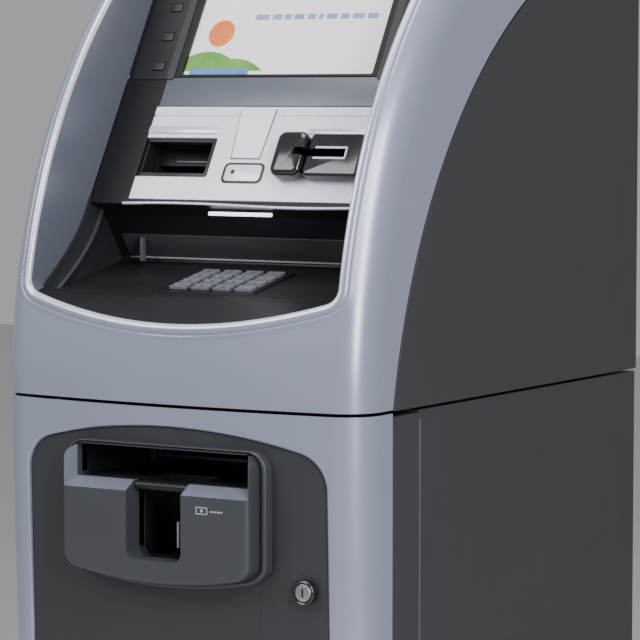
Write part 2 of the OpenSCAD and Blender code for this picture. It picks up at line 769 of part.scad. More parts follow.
// ---- Hood ----
module hood_shell() {
    low = hood_low;
    color("lightsteelblue") difference() {
        union() {
            difference() {
                intersection() {
                    prism(hood_outline(0, rear_y, low), -half_w, half_w);
                    // The plan's bow and round corners shape the upright part
                    translate([0, 0, low - 1]) linear_extrude(cabinet_h) polygon(plan(0, rear_y + 1));
                }
                intersection() {
                    prism(hood_outline(hood_t, rear_y + 20, low - 20), -half_w + hood_t, half_w - hood_t);
                    translate([0, 0, low - 20]) linear_extrude(cabinet_h + 20)
                        polygon(plan(hood_t, rear_y + 21));
                }
                block(-cheek_half, cheek_half, front_y - 1, rear_y - 60, lip_z, brow_z);
            }
            // Cheeks, from the rim back to the control panel
            both_sides() intersection() {
                prism(hood_outline(0.5, rear_y, low), cheek_half - 0.5, cheek_half + 3);
                prism([[front_y, lip_z - 6], [panel_toe[0] + 8, lip_z + 20], panel_toe + [10, 0],
                       [panel_y + sin(panel_lean) * panel_high + 10,
                        panel_z + cos(panel_lean) * panel_high + 4],
                       [front_y + 200, brow_z + 4], [front_y, brow_z + 4]],
                      cheek_half - 1, cheek_half + 4);
                translate([0, 0, low]) linear_extrude(cabinet_h) polygon(plan(0.5, rear_y));
            }
            // Ceiling of the recess
            intersection() {
                prism(hood_outline(0.5, rear_y, low), -cheek_half - 2, cheek_half + 2);
                block(-cheek_half - 2, cheek_half + 2, front_y, panel_y + sin(panel_lean) * panel_high + 4,
                      brow_z - 1, brow_z + 3);
            }
            // Hinge lugs
            both_sides() translate([0, hinge_y, hinge_z]) {
                rod_x(lug_r, lug_x, lug_x + lug_w);
                block(lug_x, lug_x + lug_w, -lug_r - 14, 5, 0, 14 - hood_t + 1);
            }
        }
        // The side panels show below this edge
        translate([0, side_centre[0], side_centre[1]])
            for (x = [-half_w - 1, half_w - hood_t - 1])
                rod_x(side_r + shut_gap, x, x + hood_t + 2, $fn = 180);
        both_sides() translate([0, hinge_y, hinge_z])
            rod_x(hood_pin_r + hinge_run, lug_x - 1, lug_x + lug_w + 1);
    }
}

module panel_frame() {
    color("#222427") on_panel() difference() {
        block(-panel_half, panel_half, panel_low, panel_high, -plate_t, 0);
        block(-screen_w / 2, screen_w / 2, 0, screen_h, -plate_t - eps, eps);
        block(-strip_half - 0.5, strip_half + 0.5, band_low - 0.5, strip_high, -plate_t - eps, eps);
        block(-band_w / 2 - 0.5, band_w / 2 + 0.5, band_low - 0.5, band_high + 0.5, -plate_t - eps, eps);
        for (x = [-1, 1], i = [0:3])
            translate([x * fkey_x, fkey_first + i * fkey_pitch, -plate_t - eps])
                linear_extrude(plate_t + 2 * eps)
                    square([fkey_w + 2 * key_gap, fkey_h + 2 * key_gap], center = true);
    }
}

module screen_module() {
    color("dimgray") on_panel()
        difference() {
            block(-screen_w / 2 - 8, screen_w / 2 + 8, -8, screen_h + 8,
                  -plate_t - glass_t - module_t, -plate_t - glass_t);
            block(-screen_w / 2 - 8 + box_wall, screen_w / 2 + 8 - box_wall, -8 + box_wall,
                  screen_h + 8 - box_wall, -plate_t - glass_t - module_t + box_wall,
                  -plate_t - glass_t - box_wall);
        }
}

module screen_glass() {
    color("lightgray") on_panel()
        block(-screen_w / 2 - 4, screen_w / 2 + 4, -2.5, screen_h + 4, -plate_t - glass_t, -plate_t);
}

module trim_strip() {
    color("#70757f") on_panel()
        block(-strip_half, strip_half, strip_low - 1, strip_high - 0.5, -plate_t, 0);
}

module receipt_band() {
    color("#aab0c4") on_panel() difference() {
        union() {
            block(-band_w / 2, band_w / 2, band_low, band_high, -plate_t, 1);
            // Raised plate between the two mouths
            linear_extrude(2.5)
                polygon([[-22, band_high - 10], [15, band_high - 10], [6, band_high - 52], [-13, band_high - 52]]);
        }
        block(receipt_x - receipt_w / 2, receipt_x + receipt_w / 2,
              mouth_s - receipt_h / 2, mouth_s + receipt_h / 2, -plate_t - eps, 2);
        block(reader_x - reader_w / 2 + 6, reader_x + reader_w / 2 - 6,
              mouth_s - receipt_h / 2 + 5, mouth_s + receipt_h / 2 - 5, -plate_t - eps, 2);
    }
}

module receipt_printer() {
    w = receipt_w / 2 + 4;
    color("#38393d") on_panel() difference() {
        block(receipt_x - w, receipt_x + w, mouth_s - receipt_h / 2 - 4, mouth_s + receipt_h / 2 + 4,
              printer_rear, -plate_t);
        // Mouth, then the slot that the paper leaves by
        block(receipt_x - receipt_w / 2, receipt_x + receipt_w / 2,
              mouth_s - receipt_h / 2, mouth_s + receipt_h / 2, -26, -plate_t + eps);
        block(receipt_x - receipt_w / 2 + 1, receipt_x + receipt_w / 2 - 1,
              mouth_s - 4, mouth_s + 4, printer_rear - 1, -25);
    }
    // Bracket and spindle of the paper roll
    color("gray") on_panel() for (x = [-1, 1])
        block(receipt_x + x * (receipt_w / 2 + 3) - 1, receipt_x + x * (receipt_w / 2 + 3) + 1,
              mouth_s - 10, mouth_s + 10, roll_h - 10, printer_rear + 1);
    color("gray") on_panel() translate([0, mouth_s, roll_h]) rod_x(spindle_r, receipt_x - receipt_w / 2 - 4,
                                                                  receipt_x + receipt_w / 2 + 4);
}

module paper_roll() {
    w = receipt_w / 2 + 1;
    color("white") on_panel() translate([0, mouth_s, roll_h]) difference() {
        rod_x(roll_r, receipt_x - w, receipt_x + w);
        rod_x(spindle_r + 0.08, receipt_x - w - 1, receipt_x + w + 1);
    }
}

module card_bezel() {
    h = 22;
    slot_x = reader_x + 3;
    color("black") on_panel() difference() {
        union() {
            // Two swellings with a finger notch between them
            for (x = [reader_x - reader_w / 2, reader_x - reader_w / 2 + 40])
                translate([x, mouth_s - h, 1.2])
                    linear_extrude(x < reader_x - 20 ? 15 : 12)
                        round_rect(0, x < reader_x - 20 ? 36 : reader_w - 40, 0, 2 * h, 9);
            linear_extrude(7)
                round_rect(reader_x - reader_w / 2 + 2, reader_x + reader_w / 2 - 2,
                           mouth_s - h + 3, mouth_s + h - 3, 6);
        }
        block(slot_x - card_w / 2, slot_x + card_w / 2, mouth_s - card_slot_h / 2,
              mouth_s + card_slot_h / 2, -1, 20);
        // The band's thickness behind it
        block(reader_x - reader_w, reader_x + reader_w, mouth_s - 60, mouth_s + 60, -20, 1.2);
    }
}

module card_reader() {
    slot_x = reader_x + 3;
    color("#38393d") on_panel() difference() {
        union() {
            block(slot_x - card_w / 2 - 8, slot_x + card_w / 2 + 2, mouth_s - 14, mouth_s + 14, -100, -plate_t - 1);
            block(slot_x - card_w / 2 - 3, slot_x + card_w / 2 + 1.5, mouth_s - 8, mouth_s + 8, -plate_t - 2, 1);
        }
        block(slot_x - card_w / 2, slot_x + card_w / 2, mouth_s - card_slot_h / 2,
              mouth_s + card_slot_h / 2, -80, 2);
    }
}

// Side outline of the tray: lip, apron, shelf, back wall and ceiling
tray_path = [lip_point, shelf_front, shelf_rear, ceiling_rear, toe_back, toe_flange];
module tray_solid() {
    prism(concat(tray_path, [toe_flange + tray_t * panel_back, ceiling_rear + [4, 2],
                             shelf_rear + [4, -tray_t],
                             shelf_front + [1, -tray_t], lip_point + [1, -tray_t]]),
          -tray_half, tray_half);
}
module keypad_tray() {
    color("#1f2023") {
        difference() {
            intersection() {
                tray_solid();
                translate([0, 0, seam_z]) linear_extrude(lip_h + 200)
                    polygon(plan(hood_t + 0.4, rear_y));
            }
            on_pad() block(-pad_half - 0.5, pad_half + 0.5, -pad_front - 0.5,
                           pad_len - pad_front + 0.5, -30, 20);
        }
        // Side wings that sweep forward to the lip
        both_sides() prism(concat([shelf_front, shelf_rear, ceiling_rear, toe_back],
            [for (i = [1:10]) let (t = i / 10, m = panel_toe * (1 - t) + (lip_point + [8, 8]) * t)
                m + [12, -6] * sin(360 * t)]), tray_half - tray_t, tray_half);
    }
}

module light_bar() {
    // Sits under the ceiling, just behind the panel's toe
    y = (ceiling_rear[0] + panel_toe[0]) / 2;
    z = (ceiling_rear[1] + panel_toe[1]) / 2;
    color("white") block(-35, 35, y - 4, y + 3, z - 6.5, z - 1.5);
}

module pin_pad_body() {
    color("#2a2b2e") on_pad() difference() {
        block(-pad_half, pad_half, -pad_front, pad_len - pad_front, -pad_t, 0);
        for (col = [0:3], row = [0:3])
            translate([(col - 1.5) * key_pitch_x, key_d / 2 + row * key_pitch_y, 0])
                block(-key_w / 2 - key_gap, key_w / 2 + key_gap, -key_d / 2 - key_gap,
                      key_d / 2 + key_gap, -key_deep - key_travel - 0.5, eps);
    }
}

// Keys run from the pad's far row to its near row
module pin_key(i) {
    col = i % 4;
    row = 3 - floor(i / 4);
    color("lightgray") on_pad()
        translate([(col - 1.5) * key_pitch_x, key_d / 2 + row * key_pitch_y, 0]) difference() {
            block(-key_w / 2, key_w / 2, -key_d / 2, key_d / 2, -key_deep, key_rise);
            // Finger hollow across the key's top
            translate([0, 0, key_rise + 28]) rod_x(29, -key_w, key_w);
        }
}

module function_key(side, i) {
    color("gray") on_panel()
        translate([side * fkey_x, fkey_first + i * fkey_pitch, -fkey_deep])
            linear_extrude(fkey_deep + fkey_rise)
                round_rect(-fkey_w / 2, fkey_w / 2, -fkey_h / 2, fkey_h / 2, 2);
}

safe_body();
hinge_brackets();
dispenser_unit();
cash_cassette();
safe_door();
safe_dial();
safe_handle();
locking_bolts();
door_pan();
door_fascia();
door_insert();
dispenser_shroud();
cash_chute();
lock_bezel();
lock_plug();
head_base();
side_panel_left();
side_panel_right();
rear_panel();
mainboard_box();
power_supply();
rocker_switch();
hood_hinge();
hood_shell();
panel_frame();
screen_module();
screen_glass();
trim_strip();
receipt_band();
receipt_printer();
paper_roll();
card_bezel();
card_reader();
light_bar();
keypad_tray();
pin_pad_body();
for (i = [0:15]) pin_key(i);
for (i = [0:7]) function_key(i < 4 ? -1 : 1, i % 4);
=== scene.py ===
# %% [markdown]
# # A free-standing cash machine, finished over its exact frame
# The frame is the engineering model: it says where every part sits and how the
# doors, keys and bolts move. This script gives that frame its skin: the painted
# hood and door, the moulded cash shroud, the control panel, keys and screen.
# Everything is worked out in millimetres, then scaled to metres at the end of
# each piece, because a maker of sheet metal and mouldings thinks in millimetres.

# %% Load the frame
import json
import math
import bpy
import bmesh
from mathutils import Matrix, Vector

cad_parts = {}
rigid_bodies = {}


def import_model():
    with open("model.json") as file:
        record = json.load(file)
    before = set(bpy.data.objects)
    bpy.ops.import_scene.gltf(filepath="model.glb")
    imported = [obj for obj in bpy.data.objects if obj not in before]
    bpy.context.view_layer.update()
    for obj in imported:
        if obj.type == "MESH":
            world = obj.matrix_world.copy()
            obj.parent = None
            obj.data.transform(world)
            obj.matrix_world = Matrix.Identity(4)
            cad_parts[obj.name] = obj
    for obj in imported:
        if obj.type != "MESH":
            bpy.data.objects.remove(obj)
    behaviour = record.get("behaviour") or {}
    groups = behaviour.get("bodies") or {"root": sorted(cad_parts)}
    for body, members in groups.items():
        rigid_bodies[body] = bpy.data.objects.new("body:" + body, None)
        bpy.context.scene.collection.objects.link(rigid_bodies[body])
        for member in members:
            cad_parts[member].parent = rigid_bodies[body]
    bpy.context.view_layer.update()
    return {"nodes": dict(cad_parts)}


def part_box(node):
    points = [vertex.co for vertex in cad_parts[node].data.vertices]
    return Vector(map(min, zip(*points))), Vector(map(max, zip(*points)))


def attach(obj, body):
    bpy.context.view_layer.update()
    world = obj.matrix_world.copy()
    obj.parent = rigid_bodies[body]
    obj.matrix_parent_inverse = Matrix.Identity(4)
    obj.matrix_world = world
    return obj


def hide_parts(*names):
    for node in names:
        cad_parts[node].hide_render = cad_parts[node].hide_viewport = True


for leftover in list(bpy.data.objects):
    bpy.data.objects.remove(leftover)
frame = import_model()
NODES = frame["nodes"]
MM = 0.001

# %% [markdown]
# ## Sizes that come from the frame
# The box of a node gives the cabinet's front, the seam and the top. What no box
# can give, such as the bow of the front, its corners and the slopes, is typed
# once below. The corner is a little rounder than the frame's own. The control
# panel's slope gives a small frame in which x runs across, s runs up the slope,
# and h stands off the panel.

# %% Sizes
def box_mm(node):
    low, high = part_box(node)
    return low / MM, high / MM


hood_low, hood_high = box_mm("hood_shell")
door_low, door_high = box_mm("door_fascia")
HALF = hood_high.x
FRONT = door_low.y
REAR = hood_high.y
TOP = hood_high.z
FLANGE = door_high.y
BOW = 16.0
CORNER = 36.0
PANEL_LEAN = math.radians(29.16)
PAD_LEAN = math.radians(12.0)
panel_low_corner, panel_high_corner = box_mm("panel_frame")
PANEL_FOOT = 146.0
PAD_IN, PAD_Z = 74, 949
SKIN_WALL = 2.2
PANEL_Y = panel_low_corner.y + PANEL_FOOT * math.sin(PANEL_LEAN)
PANEL_Z = panel_low_corner.z + PANEL_FOOT * math.cos(PANEL_LEAN) + 4 * math.sin(PANEL_LEAN)
panel_place = Matrix.Translation((0, PANEL_Y, PANEL_Z)) @ Matrix.Rotation(math.pi / 2 - PANEL_LEAN, 4, "X")
pad_place = Matrix.Translation((0, FRONT + PAD_IN, PAD_Z)) @ Matrix.Rotation(PAD_LEAN, 4, "X")
print("front %.1f, seam %.1f, top %.1f, panel foot (%.1f, %.1f)" % (FRONT, hood_low.z, TOP, PANEL_Y, PANEL_Z))

# %% [markdown]
# ## The camera
# The machine is looked at from its front right, a little above the PIN pad, with
# a long lens, so that its uprights stay nearly parallel.

# %% Camera
azimuth, elevation = math.radians(31.84), math.radians(4.38)
looking = Vector((-math.sin(azimuth) * math.cos(elevation), math.cos(azimuth) * math.cos(elevation),
    -math.sin(elevation)))
lens_data = bpy.data.cameras.new("camera")
lens_data.sensor_width = 36
lens_data.lens = 165.6
camera = bpy.data.objects.new("camera", lens_data)
camera.location = (1.5628, -2.5321, 1.1345)
camera.rotation_euler = looking.to_track_quat("-Z", "Y").to_euler()
bpy.context.scene.collection.objects.link(camera)
bpy.context.scene.camera = camera
print("camera looks along", [round(v, 3) for v in looking])

# %% [markdown]
# ## Effects that several finishes share
# Paint, powder coat and moulded plastic differ in grain, in how their colour
# drifts over a big panel, and in how hands polish or dull them. Each effect is a
# small node group, built once. It reads coordinates and puts out one colour, one
# roughness or one height, and each finish places it with values of its own.

# %% A group with named sockets
NUMBER, COLOUR, VECTOR = "NodeSocketFloat", "NodeSocketColor", "NodeSocketVector"


def new_group(name, scale, inputs, output, kind):
    group = bpy.data.node_groups.new(name, "ShaderNodeTree")
    for label, socket_kind, value in [("Coordinates", VECTOR, None), ("Scale", NUMBER, scale)] + inputs:
        socket = group.interface.new_socket(label, in_out="INPUT", socket_type=socket_kind)
        if value is not None:
            socket.default_value = value
    group.interface.new_socket(output, in_out="OUTPUT", socket_type=kind)
    return group, group.nodes.new("NodeGroupInput"), group.nodes.new("NodeGroupOutput")


def wire(tree, *links):
    for source, output, target, entry in links:
        tree.links.new(source.outputs[output], target.inputs[entry])


def tone_drift_group():
    group, source, sink = new_group("tone drift", 4.0, [("Deep", COLOUR, (0.2, 0.2, 0.2, 1)),
        ("Pale", COLOUR, (0.3, 0.3, 0.3, 1))], "Colour", COLOUR)
    noise = group.nodes.new("ShaderNodeTexNoise")
    noise.inputs["Detail"].default_value = 5
    mix = group.nodes.new("ShaderNodeMix")
    mix.data_type = "RGBA"
    wire(group, (source, "Coordinates", noise, "Vector"), (source, "Scale", noise, "Scale"),
        (noise, "Fac", mix, 0), (source, "Deep", mix, 6), (source, "Pale", mix, 7), (mix, 2, sink, "Colour"))
    return group


def handling_group():
    group, source, sink = new_group("handling marks", 8.0, [("Polished", NUMBER, 0.3),
        ("Dulled", NUMBER, 0.45)], "Roughness", NUMBER)
    broad = group.nodes.new("ShaderNodeTexNoise")
    broad.inputs["Detail"].default_value = 6
    broad.inputs["Roughness"].default_value = 0.62
    spread = group.nodes.new("ShaderNodeMapRange")
    spread.inputs["From Min"].default_value = 0.32
    spread.inputs["From Max"].default_value = 0.68
    wire(group, (source, "Coordinates", broad, "Vector"), (source, "Scale", broad, "Scale"),
        (broad, "Fac", spread, "Value"), (source, "Polished", spread, "To Min"),
        (source, "Dulled", spread, "To Max"), (spread, "Result", sink, "Roughness"))
    return group


def grain_group():
    group, source, sink = new_group("surface grain", 900.0, [("Pebble", NUMBER, 0.5)], "Height", NUMBER)
    fine = group.nodes.new("ShaderNodeTexNoise")
    fine.inputs["Detail"].default_value = 3
    pebble = group.nodes.new("ShaderNodeTexVoronoi")
    pebble.feature = "SMOOTH_F1"
    mix = group.nodes.new("ShaderNodeMix")
    for texture in (fine, pebble):
        wire(group, (source, "Coordinates", texture, "Vector"), (source, "Scale", texture, "Scale"))
    wire(group, (source, "Pebble", mix, 0), (fine, "Fac", mix, 2), (pebble, "Distance", mix, 3),
        (mix, 0, sink, "Height"))
    return group


TONE, HANDLING, GRAIN = tone_drift_group(), handling_group(), grain_group()
print("groups:", [g.name for g in (TONE, HANDLING, GRAIN)])

# %% [markdown]
# ## Finishes
# One recipe serves every painted or moulded surface: a colour that drifts
# slightly, a roughness that varies where it is touched, and a fine grain that
# feeds a bump. What differs is the numbers, so each finish is one call. Constants
# such as the coat or the metal share are set on the shader itself. A finish is
# written as its deep and its pale colour, its roughness where polished and where
# dulled, the grain's scale, its share of pebble, its bump, and the drift's scale.

# %% The recipe of a finish
def tint(code):
    parts = [int(code[i:i + 2], 16) / 255 for i in (1, 3, 5)]
    return tuple(c / 12.92 if c <= 0.04045 else ((c + 0.055) / 1.055) ** 2.4 for c in parts) + (1.0,)


def use_group(tree, group, coordinates, **values):
    node = tree.nodes.new("ShaderNodeGroup")
    node.node_tree = group
    tree.links.new(coordinates, node.inputs["Coordinates"])
    for label, value in values.items():
        node.inputs[label].default_value = value
    return node


def finish(name, deep, pale, polished, dulled, grain=900, pebble=0.5, bump=0.05, drift=5, metal=0.0, coat=0.0,
        coat_rough=0.1, specular=0.5, flake=0.0):
    material = bpy.data.materials.new(name)
    material.use_nodes = True
    tree = material.node_tree
    shader = tree.nodes["Principled BSDF"]
    place = tree.nodes.new("ShaderNodeTexCoord").outputs["Object"]
    colour = use_group(tree, TONE, place, Scale=drift, Deep=tint(deep), Pale=tint(pale)).outputs["Colour"]
    if flake:
        specks = tree.nodes.new("ShaderNodeTexNoise")
        specks.inputs["Scale"].default_value = 1400
        specks.inputs["Detail"].default_value = 1
        lift = tree.nodes.new("ShaderNodeMix")
        lift.data_type = "RGBA"
        lift.blend_type = "OVERLAY"
        lift.inputs[0].default_value = flake
        tree.links.new(place, specks.inputs["Vector"])
        tree.links.new(colour, lift.inputs[6])
        tree.links.new(specks.outputs["Fac"], lift.inputs[7])
        colour = lift.outputs[2]
    tree.links.new(colour, shader.inputs["Base Color"])
    marks = use_group(tree, HANDLING, place, Scale=drift * 2.2, Polished=polished, Dulled=dulled)
    tree.links.new(marks.outputs["Roughness"], shader.inputs["Roughness"])
    height = use_group(tree, GRAIN, place, Scale=float(grain), Pebble=pebble)
    bumps = tree.nodes.new("ShaderNodeBump")
    bumps.inputs["Strength"].default_value = bump
    bumps.inputs["Distance"].default_value = 0.0004
    tree.links.new(height.outputs["Height"], bumps.inputs["Height"])
    tree.links.new(bumps.outputs["Normal"], shader.inputs["Normal"])
    for label, value in (("Metallic", metal), ("Coat Weight", coat), ("Coat Roughness", coat_rough),
            ("Specular IOR Level", specular)):
        shader.inputs[label].default_value = value
    return material


silver_paint = finish("silver paint", "#8b90a4", "#999eb2", 0.26, 0.34, 700, 0.2, 0.03, 3, metal=0.4, coat=0.5,
    coat_rough=0.14, flake=0.10)
# Painted shade: the hood's silver, darkened for the cheeks that face away from the light.
cheek_shade_paint = finish("cheek silver with painted shade", "#5c5f6c", "#666976", 0.34, 0.44, 700, 0.2, 0.04, 3, metal=0.2)
# Painted highlight: a paler silver for the hood's rolled rim and the band's brows.
rim_highlight_paint = finish("rim painted highlight", "#c6cad8", "#d6dae6", 0.16, 0.24, 700, 0.2, 0.02, 5, metal=0.3, coat=0.6)
side_coat = finish("side powder coat", "#292a2c", "#303133", 0.48, 0.58, 1100, 0.6, 0.18, 4)
steel_coat = finish("safe powder coat", "#28292d", "#303135", 0.46, 0.58, 900, 0.6, 0.2, 4)
insert_plastic = finish("insert plastic", "#27282c", "#2e2f33", 0.42, 0.52, 1000, 0.5, 0.12, 5)
shroud_plastic = finish("shroud plastic", "#33363a", "#3b3e42", 0.34, 0.44, 1200, 0.4, 0.08, 7)
panel_plastic = finish("panel plastic", "#0d0e10", "#151619", 0.34, 0.46, 1300, 0.5, 0.08, 9, specular=0.3)
recess_plastic = finish("recess plastic", "#161719", "#1d1e21", 0.32, 0.44, 1100, 0.5, 0.08, 8, specular=0.35)
# Mid grey: the real colour of the trim strip, and painted highlight where it draws the receipt lip, the recess corner
# and the pan's rear edge.
trim_grey_and_highlight = finish("trim plastic and painted highlight", "#50545c", "#5c606a", 0.32, 0.42, 900, 0.3, 0.05, 6, metal=0.2)
# Painted reflection: the band's silver lifted almost to white; the fan and the jack plate are given it too.
band_silver_and_reflection = finish("band silver with painted reflection", "#d0d4e0", "#e4e7ef", 0.22, 0.32, 800, 0.2, 0.03, 5, metal=0.2, coat=0.5,
    coat_rough=0.12, flake=0.08)
gloss_plastic = finish("gloss plastic", "#0e0f11", "#17181b", 0.10, 0.20, 500, 0.2, 0.02, 9, coat=0.6)
key_resin = finish("key resin", "#5a5c61", "#6a6d72", 0.36, 0.48, 1500, 0.4, 0.05, 30)
fkey_resin = finish("function key resin", "#131416", "#1c1d20", 0.36, 0.48, 1500, 0.4, 0.05, 30)
strip_resin = finish("strip resin", "#1d1f22", "#27292d", 0.34, 0.46, 1500, 0.4, 0.05, 20)
wing_resin = finish("wing resin", "#1f2023", "#28292d", 0.36, 0.46, 1300, 0.4, 0.06, 12)
# Painted light: a paler dark grey for the lit lower part of the recess's back wall and the highlight along each wing's
# rib.
painted_light_resin = finish("dark resin with painted light", "#36383c", "#404246", 0.36, 0.46, 1300, 0.4, 0.06, 12)
# Painted highlight: a paler grey for the chamfer round the cash mouth.
chamfer_highlight = finish("chamfer painted highlight", "#5a606c", "#757b87", 0.20, 0.30, 1200, 0.4, 0.04, 14, metal=0.2)
zinc_plate = finish("zinc plate", "#8e9094", "#b0b2b6", 0.24, 0.40, 600, 0.3, 0.04, 14, metal=0.9)
bare_steel = finish("inner steel", "#5c5f64", "#6c6f74", 0.34, 0.50, 700, 0.3, 0.06, 6, metal=0.6)
roll_paper = finish("roll paper", "#dcdad2", "#eceae4", 0.75, 0.88, 1600, 0.2, 0.05, 20)
# Pale grey: real ink for the note sign, and painted highlight for the notch strip and the recess ledge.
pale_ink_and_highlight = finish("pale ink and painted highlight", "#8b8e94", "#9da0a6", 0.40, 0.50, 1500, 0.2, 0.02, 40)
dark_ink = finish("dark ink", "#1c1d20", "#242528", 0.40, 0.50, 1500, 0.2, 0.02, 40)
# Painted highlight along the panel's curled lip; the same pale silver draws the line round the card slot.
lip_highlight_and_trim = finish("pale trim and painted lip highlight", "#c2c6d4", "#d6dae6", 0.18, 0.28, 800, 0.2, 0.02, 20, metal=0.5)
print(len(bpy.data.materials), "finishes")

# %% [markdown]
# ## Glowing finishes
# The screen and the lamp over the PIN pad give light. Their colour still changes
# over the surface, by a gradient and a faint raster, so neither is one flat tone.

# %% Screen and lamp finishes
def glowing(name, deep, pale, strength, drift=6, rough=0.12):
    material = finish(name, deep, pale, rough, rough + 0.08, 900, 0.2, 0.01, drift)
    tree = material.node_tree
    shader = tree.nodes["Principled BSDF"]
    source = shader.inputs["Base Color"].links[0].from_socket
    tree.links.new(source, shader.inputs["Emission Color"])
    shader.inputs["Emission Strength"].default_value = strength
    return material


screen_glow = glowing("screen picture ground", "#c9cbc6", "#d8dad4", 0.55)
lamp_glow = glowing("lamp", "#f2f2f4", "#ffffff", 2.2)
print("screen and lamp ready")

# %% [markdown]
# ## Helpers that make pieces
# A block is a cube whose upright edges may be rounded first, as a moulding's
# corners are, and whose other edges are softened after. Cuts are booleans that
# are applied at once. A sheet is a flat grid that is bent: each of its points is
# moved to where a rule says, which is how the big pressings are made here.

# %% Blocks, cuts and sheets
def block(x0, x1, y0, y1, z0, z1, corner=0.0, along="Z", edge=0.0, steps=6, edge_steps=3):
    bm = bmesh.new()
    place = Matrix.Translation(((x0 + x1) / 2, (y0 + y1) / 2, (z0 + z1) / 2)) @ Matrix.Diagonal((x1 - x0,
        y1 - y0, z1 - z0, 1))
    bmesh.ops.create_cube(bm, size=1, matrix=place)
    axis = Vector([float(along == name) for name in "XYZ"])
    if corner:
        posts = [e for e in bm.edges if abs((e.verts[1].co - e.verts[0].co).normalized().dot(axis)) > 0.99]
        bmesh.ops.bevel(bm, geom=posts, offset=corner, offset_type="OFFSET", segments=steps, profile=0.5,
            affect="EDGES", material=-1)
    if edge:
        rims = [e for e in bm.edges if len(e.link_faces) == 2 and e.calc_face_angle(0) > 0.6]
        bmesh.ops.bevel(bm, geom=rims, offset=edge, offset_type="OFFSET", segments=edge_steps, profile=0.5,
            affect="EDGES", material=-1)
    return bm


def to_object(bm, name="scratch"):
    mesh = bpy.data.meshes.new(name)
    bm.to_mesh(mesh)
    bm.free()
    made = bpy.data.objects.new(name, mesh)
    bpy.context.scene.collection.objects.link(made)
    return made


def joined(*parts):
    whole = bmesh.new()
    for part in parts:
        mesh = bpy.data.meshes.new("scratch")
        part.to_mesh(mesh)
        part.free()
        whole.from_mesh(mesh)
        bpy.data.meshes.remove(mesh)
    return whole


def settled(body, *extra):
    result = bpy.data.meshes.new_from_object(body.evaluated_get(bpy.context.evaluated_depsgraph_get()))
    bm = bmesh.new()
    bm.from_mesh(result)
    for scratch in (body, *extra):
        data, store = scratch.data, bpy.data.meshes if scratch.type == "MESH" else bpy.data.curves
        bpy.data.objects.remove(scratch)
        store.remove(data)
    bpy.data.meshes.remove(result)
    return bm


def combine(base, tools, how="DIFFERENCE"):
    body = to_object(base)
    extra = [to_object(tool) for tool in tools]
    for tool in extra:
        step = body.modifiers.new("cut", "BOOLEAN")
        step.operation = how
        step.solver = "EXACT"
        step.object = tool
    return settled(body, *extra)


def bent_sheet(across, along, rule, closed=False, finish_of=None):
    bm = bmesh.new()
    bmesh.ops.create_grid(bm, x_segments=across, y_segments=along, size=1)
    if finish_of:
        for face in bm.faces:
            face.material_index = finish_of(round((min(v.co.y for v in face.verts) + 1) / 2 * along))
    for vert in bm.verts:
        i = round((vert.co.x + 1) / 2 * across)
        j = round((vert.co.y + 1) / 2 * along)
        vert.co = Vector(rule(i % across if closed else i, j))
    if closed:
        bmesh.ops.remove_doubles(bm, verts=bm.verts, dist=0.001)
    return bm


def moved(bm, place):
    bmesh.ops.transform(bm, matrix=place, verts=bm.verts)
    return bm


def facing(bm, inside):
    bmesh.ops.recalc_face_normals(bm, faces=bm.faces)
    votes = sum(f.calc_area() * f.normal.dot(f.calc_center_median() - Vector(inside)) for f in bm.faces)
    if votes < 0:
        bmesh.ops.reverse_faces(bm, faces=bm.faces)
    return bm


def walled(bm, thick, limit):
    body = to_object(bm)
    shell = body.modifiers.new("wall", "SOLIDIFY")
    shell.thickness, shell.offset = thick, -1
    whole = settled(body)
    for vert in whole.verts:
        if abs(vert.co.x) > limit + 0.02:
            vert.co.x = math.copysign(limit - 0.3, vert.co.x)
    return whole


print("helpers ready")

# %% [markdown]
# ## Handing a piece over
# Every piece ends the same way: scaled to metres, smoothed up to an angle,
# perhaps given a wall or a fine bevel, told which body it rides on, and which
# node it stands for.

# %% Hand a piece over
def piece(name, bm, material, body, stands_for=(), slot=None, angle=35, bevel=0.0, wall=0.0, segments=2,
        extra=()):
    bmesh.ops.scale(bm, vec=(MM, MM, MM), verts=bm.verts)
    made = to_object(bm, name)
    made.data.materials.append(material)
    for more in extra:
        made.data.materials.append(more)
    made.data.shade_smooth()
    made.data.set_sharp_from_angle(angle=math.radians(angle))
    if wall:
        shell = made.modifiers.new("wall", "SOLIDIFY")
        shell.thickness = wall * MM
        shell.offset = -1
    if bevel:
        soft = made.modifiers.new("soft edges", "BEVEL")
        soft.width = bevel * MM
        soft.segments = segments
        soft.limit_method = "ANGLE"
        soft.angle_limit = math.radians(32)
        soft.harden_normals = True
    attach(made, body)
    if stands_for:
        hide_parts(*([stands_for] if isinstance(stands_for, str) else stands_for))
    print("%-22s %6d faces, rides on %s" % (name, len(made.data.polygons), body))


def softened(node, material, body, slot, bevel=0.6, rule=None):
    bm = bmesh.new()
    bm.from_mesh(NODES[node].data)
    bmesh.ops.transform(bm, matrix=NODES[node].matrix_world, verts=bm.verts)
    bmesh.ops.scale(bm, vec=(1 / MM, 1 / MM, 1 / MM), verts=bm.verts)
    bmesh.ops.remove_doubles(bm, verts=bm.verts, dist=0.01)
    bmesh.ops.dissolve_limit(bm, angle_limit=math.radians(0.5), verts=bm.verts, edges=bm.edges,
        use_dissolve_boundaries=False, delimit=set())
    if rule:
        for vert in bm.verts:
            vert.co = rule(vert.co)
    piece(node + "_skin", bm, material, body, node, slot, angle=30, bevel=bevel)


print("pieces can be handed over")

# %% [markdown]
# ## The shape of the big pressings
# The hood and the door share one section: a front bowed by a hand's breadth in
# fifty, a large round corner, and a straight side. The hood drags that section
# up a long arc and over a softer bend on to a flat top. Two rules describe this.
# `section` says how far across and how far back a point lies, and `hood_path`
# says where the front is at a distance T up the hood, and which way is out.

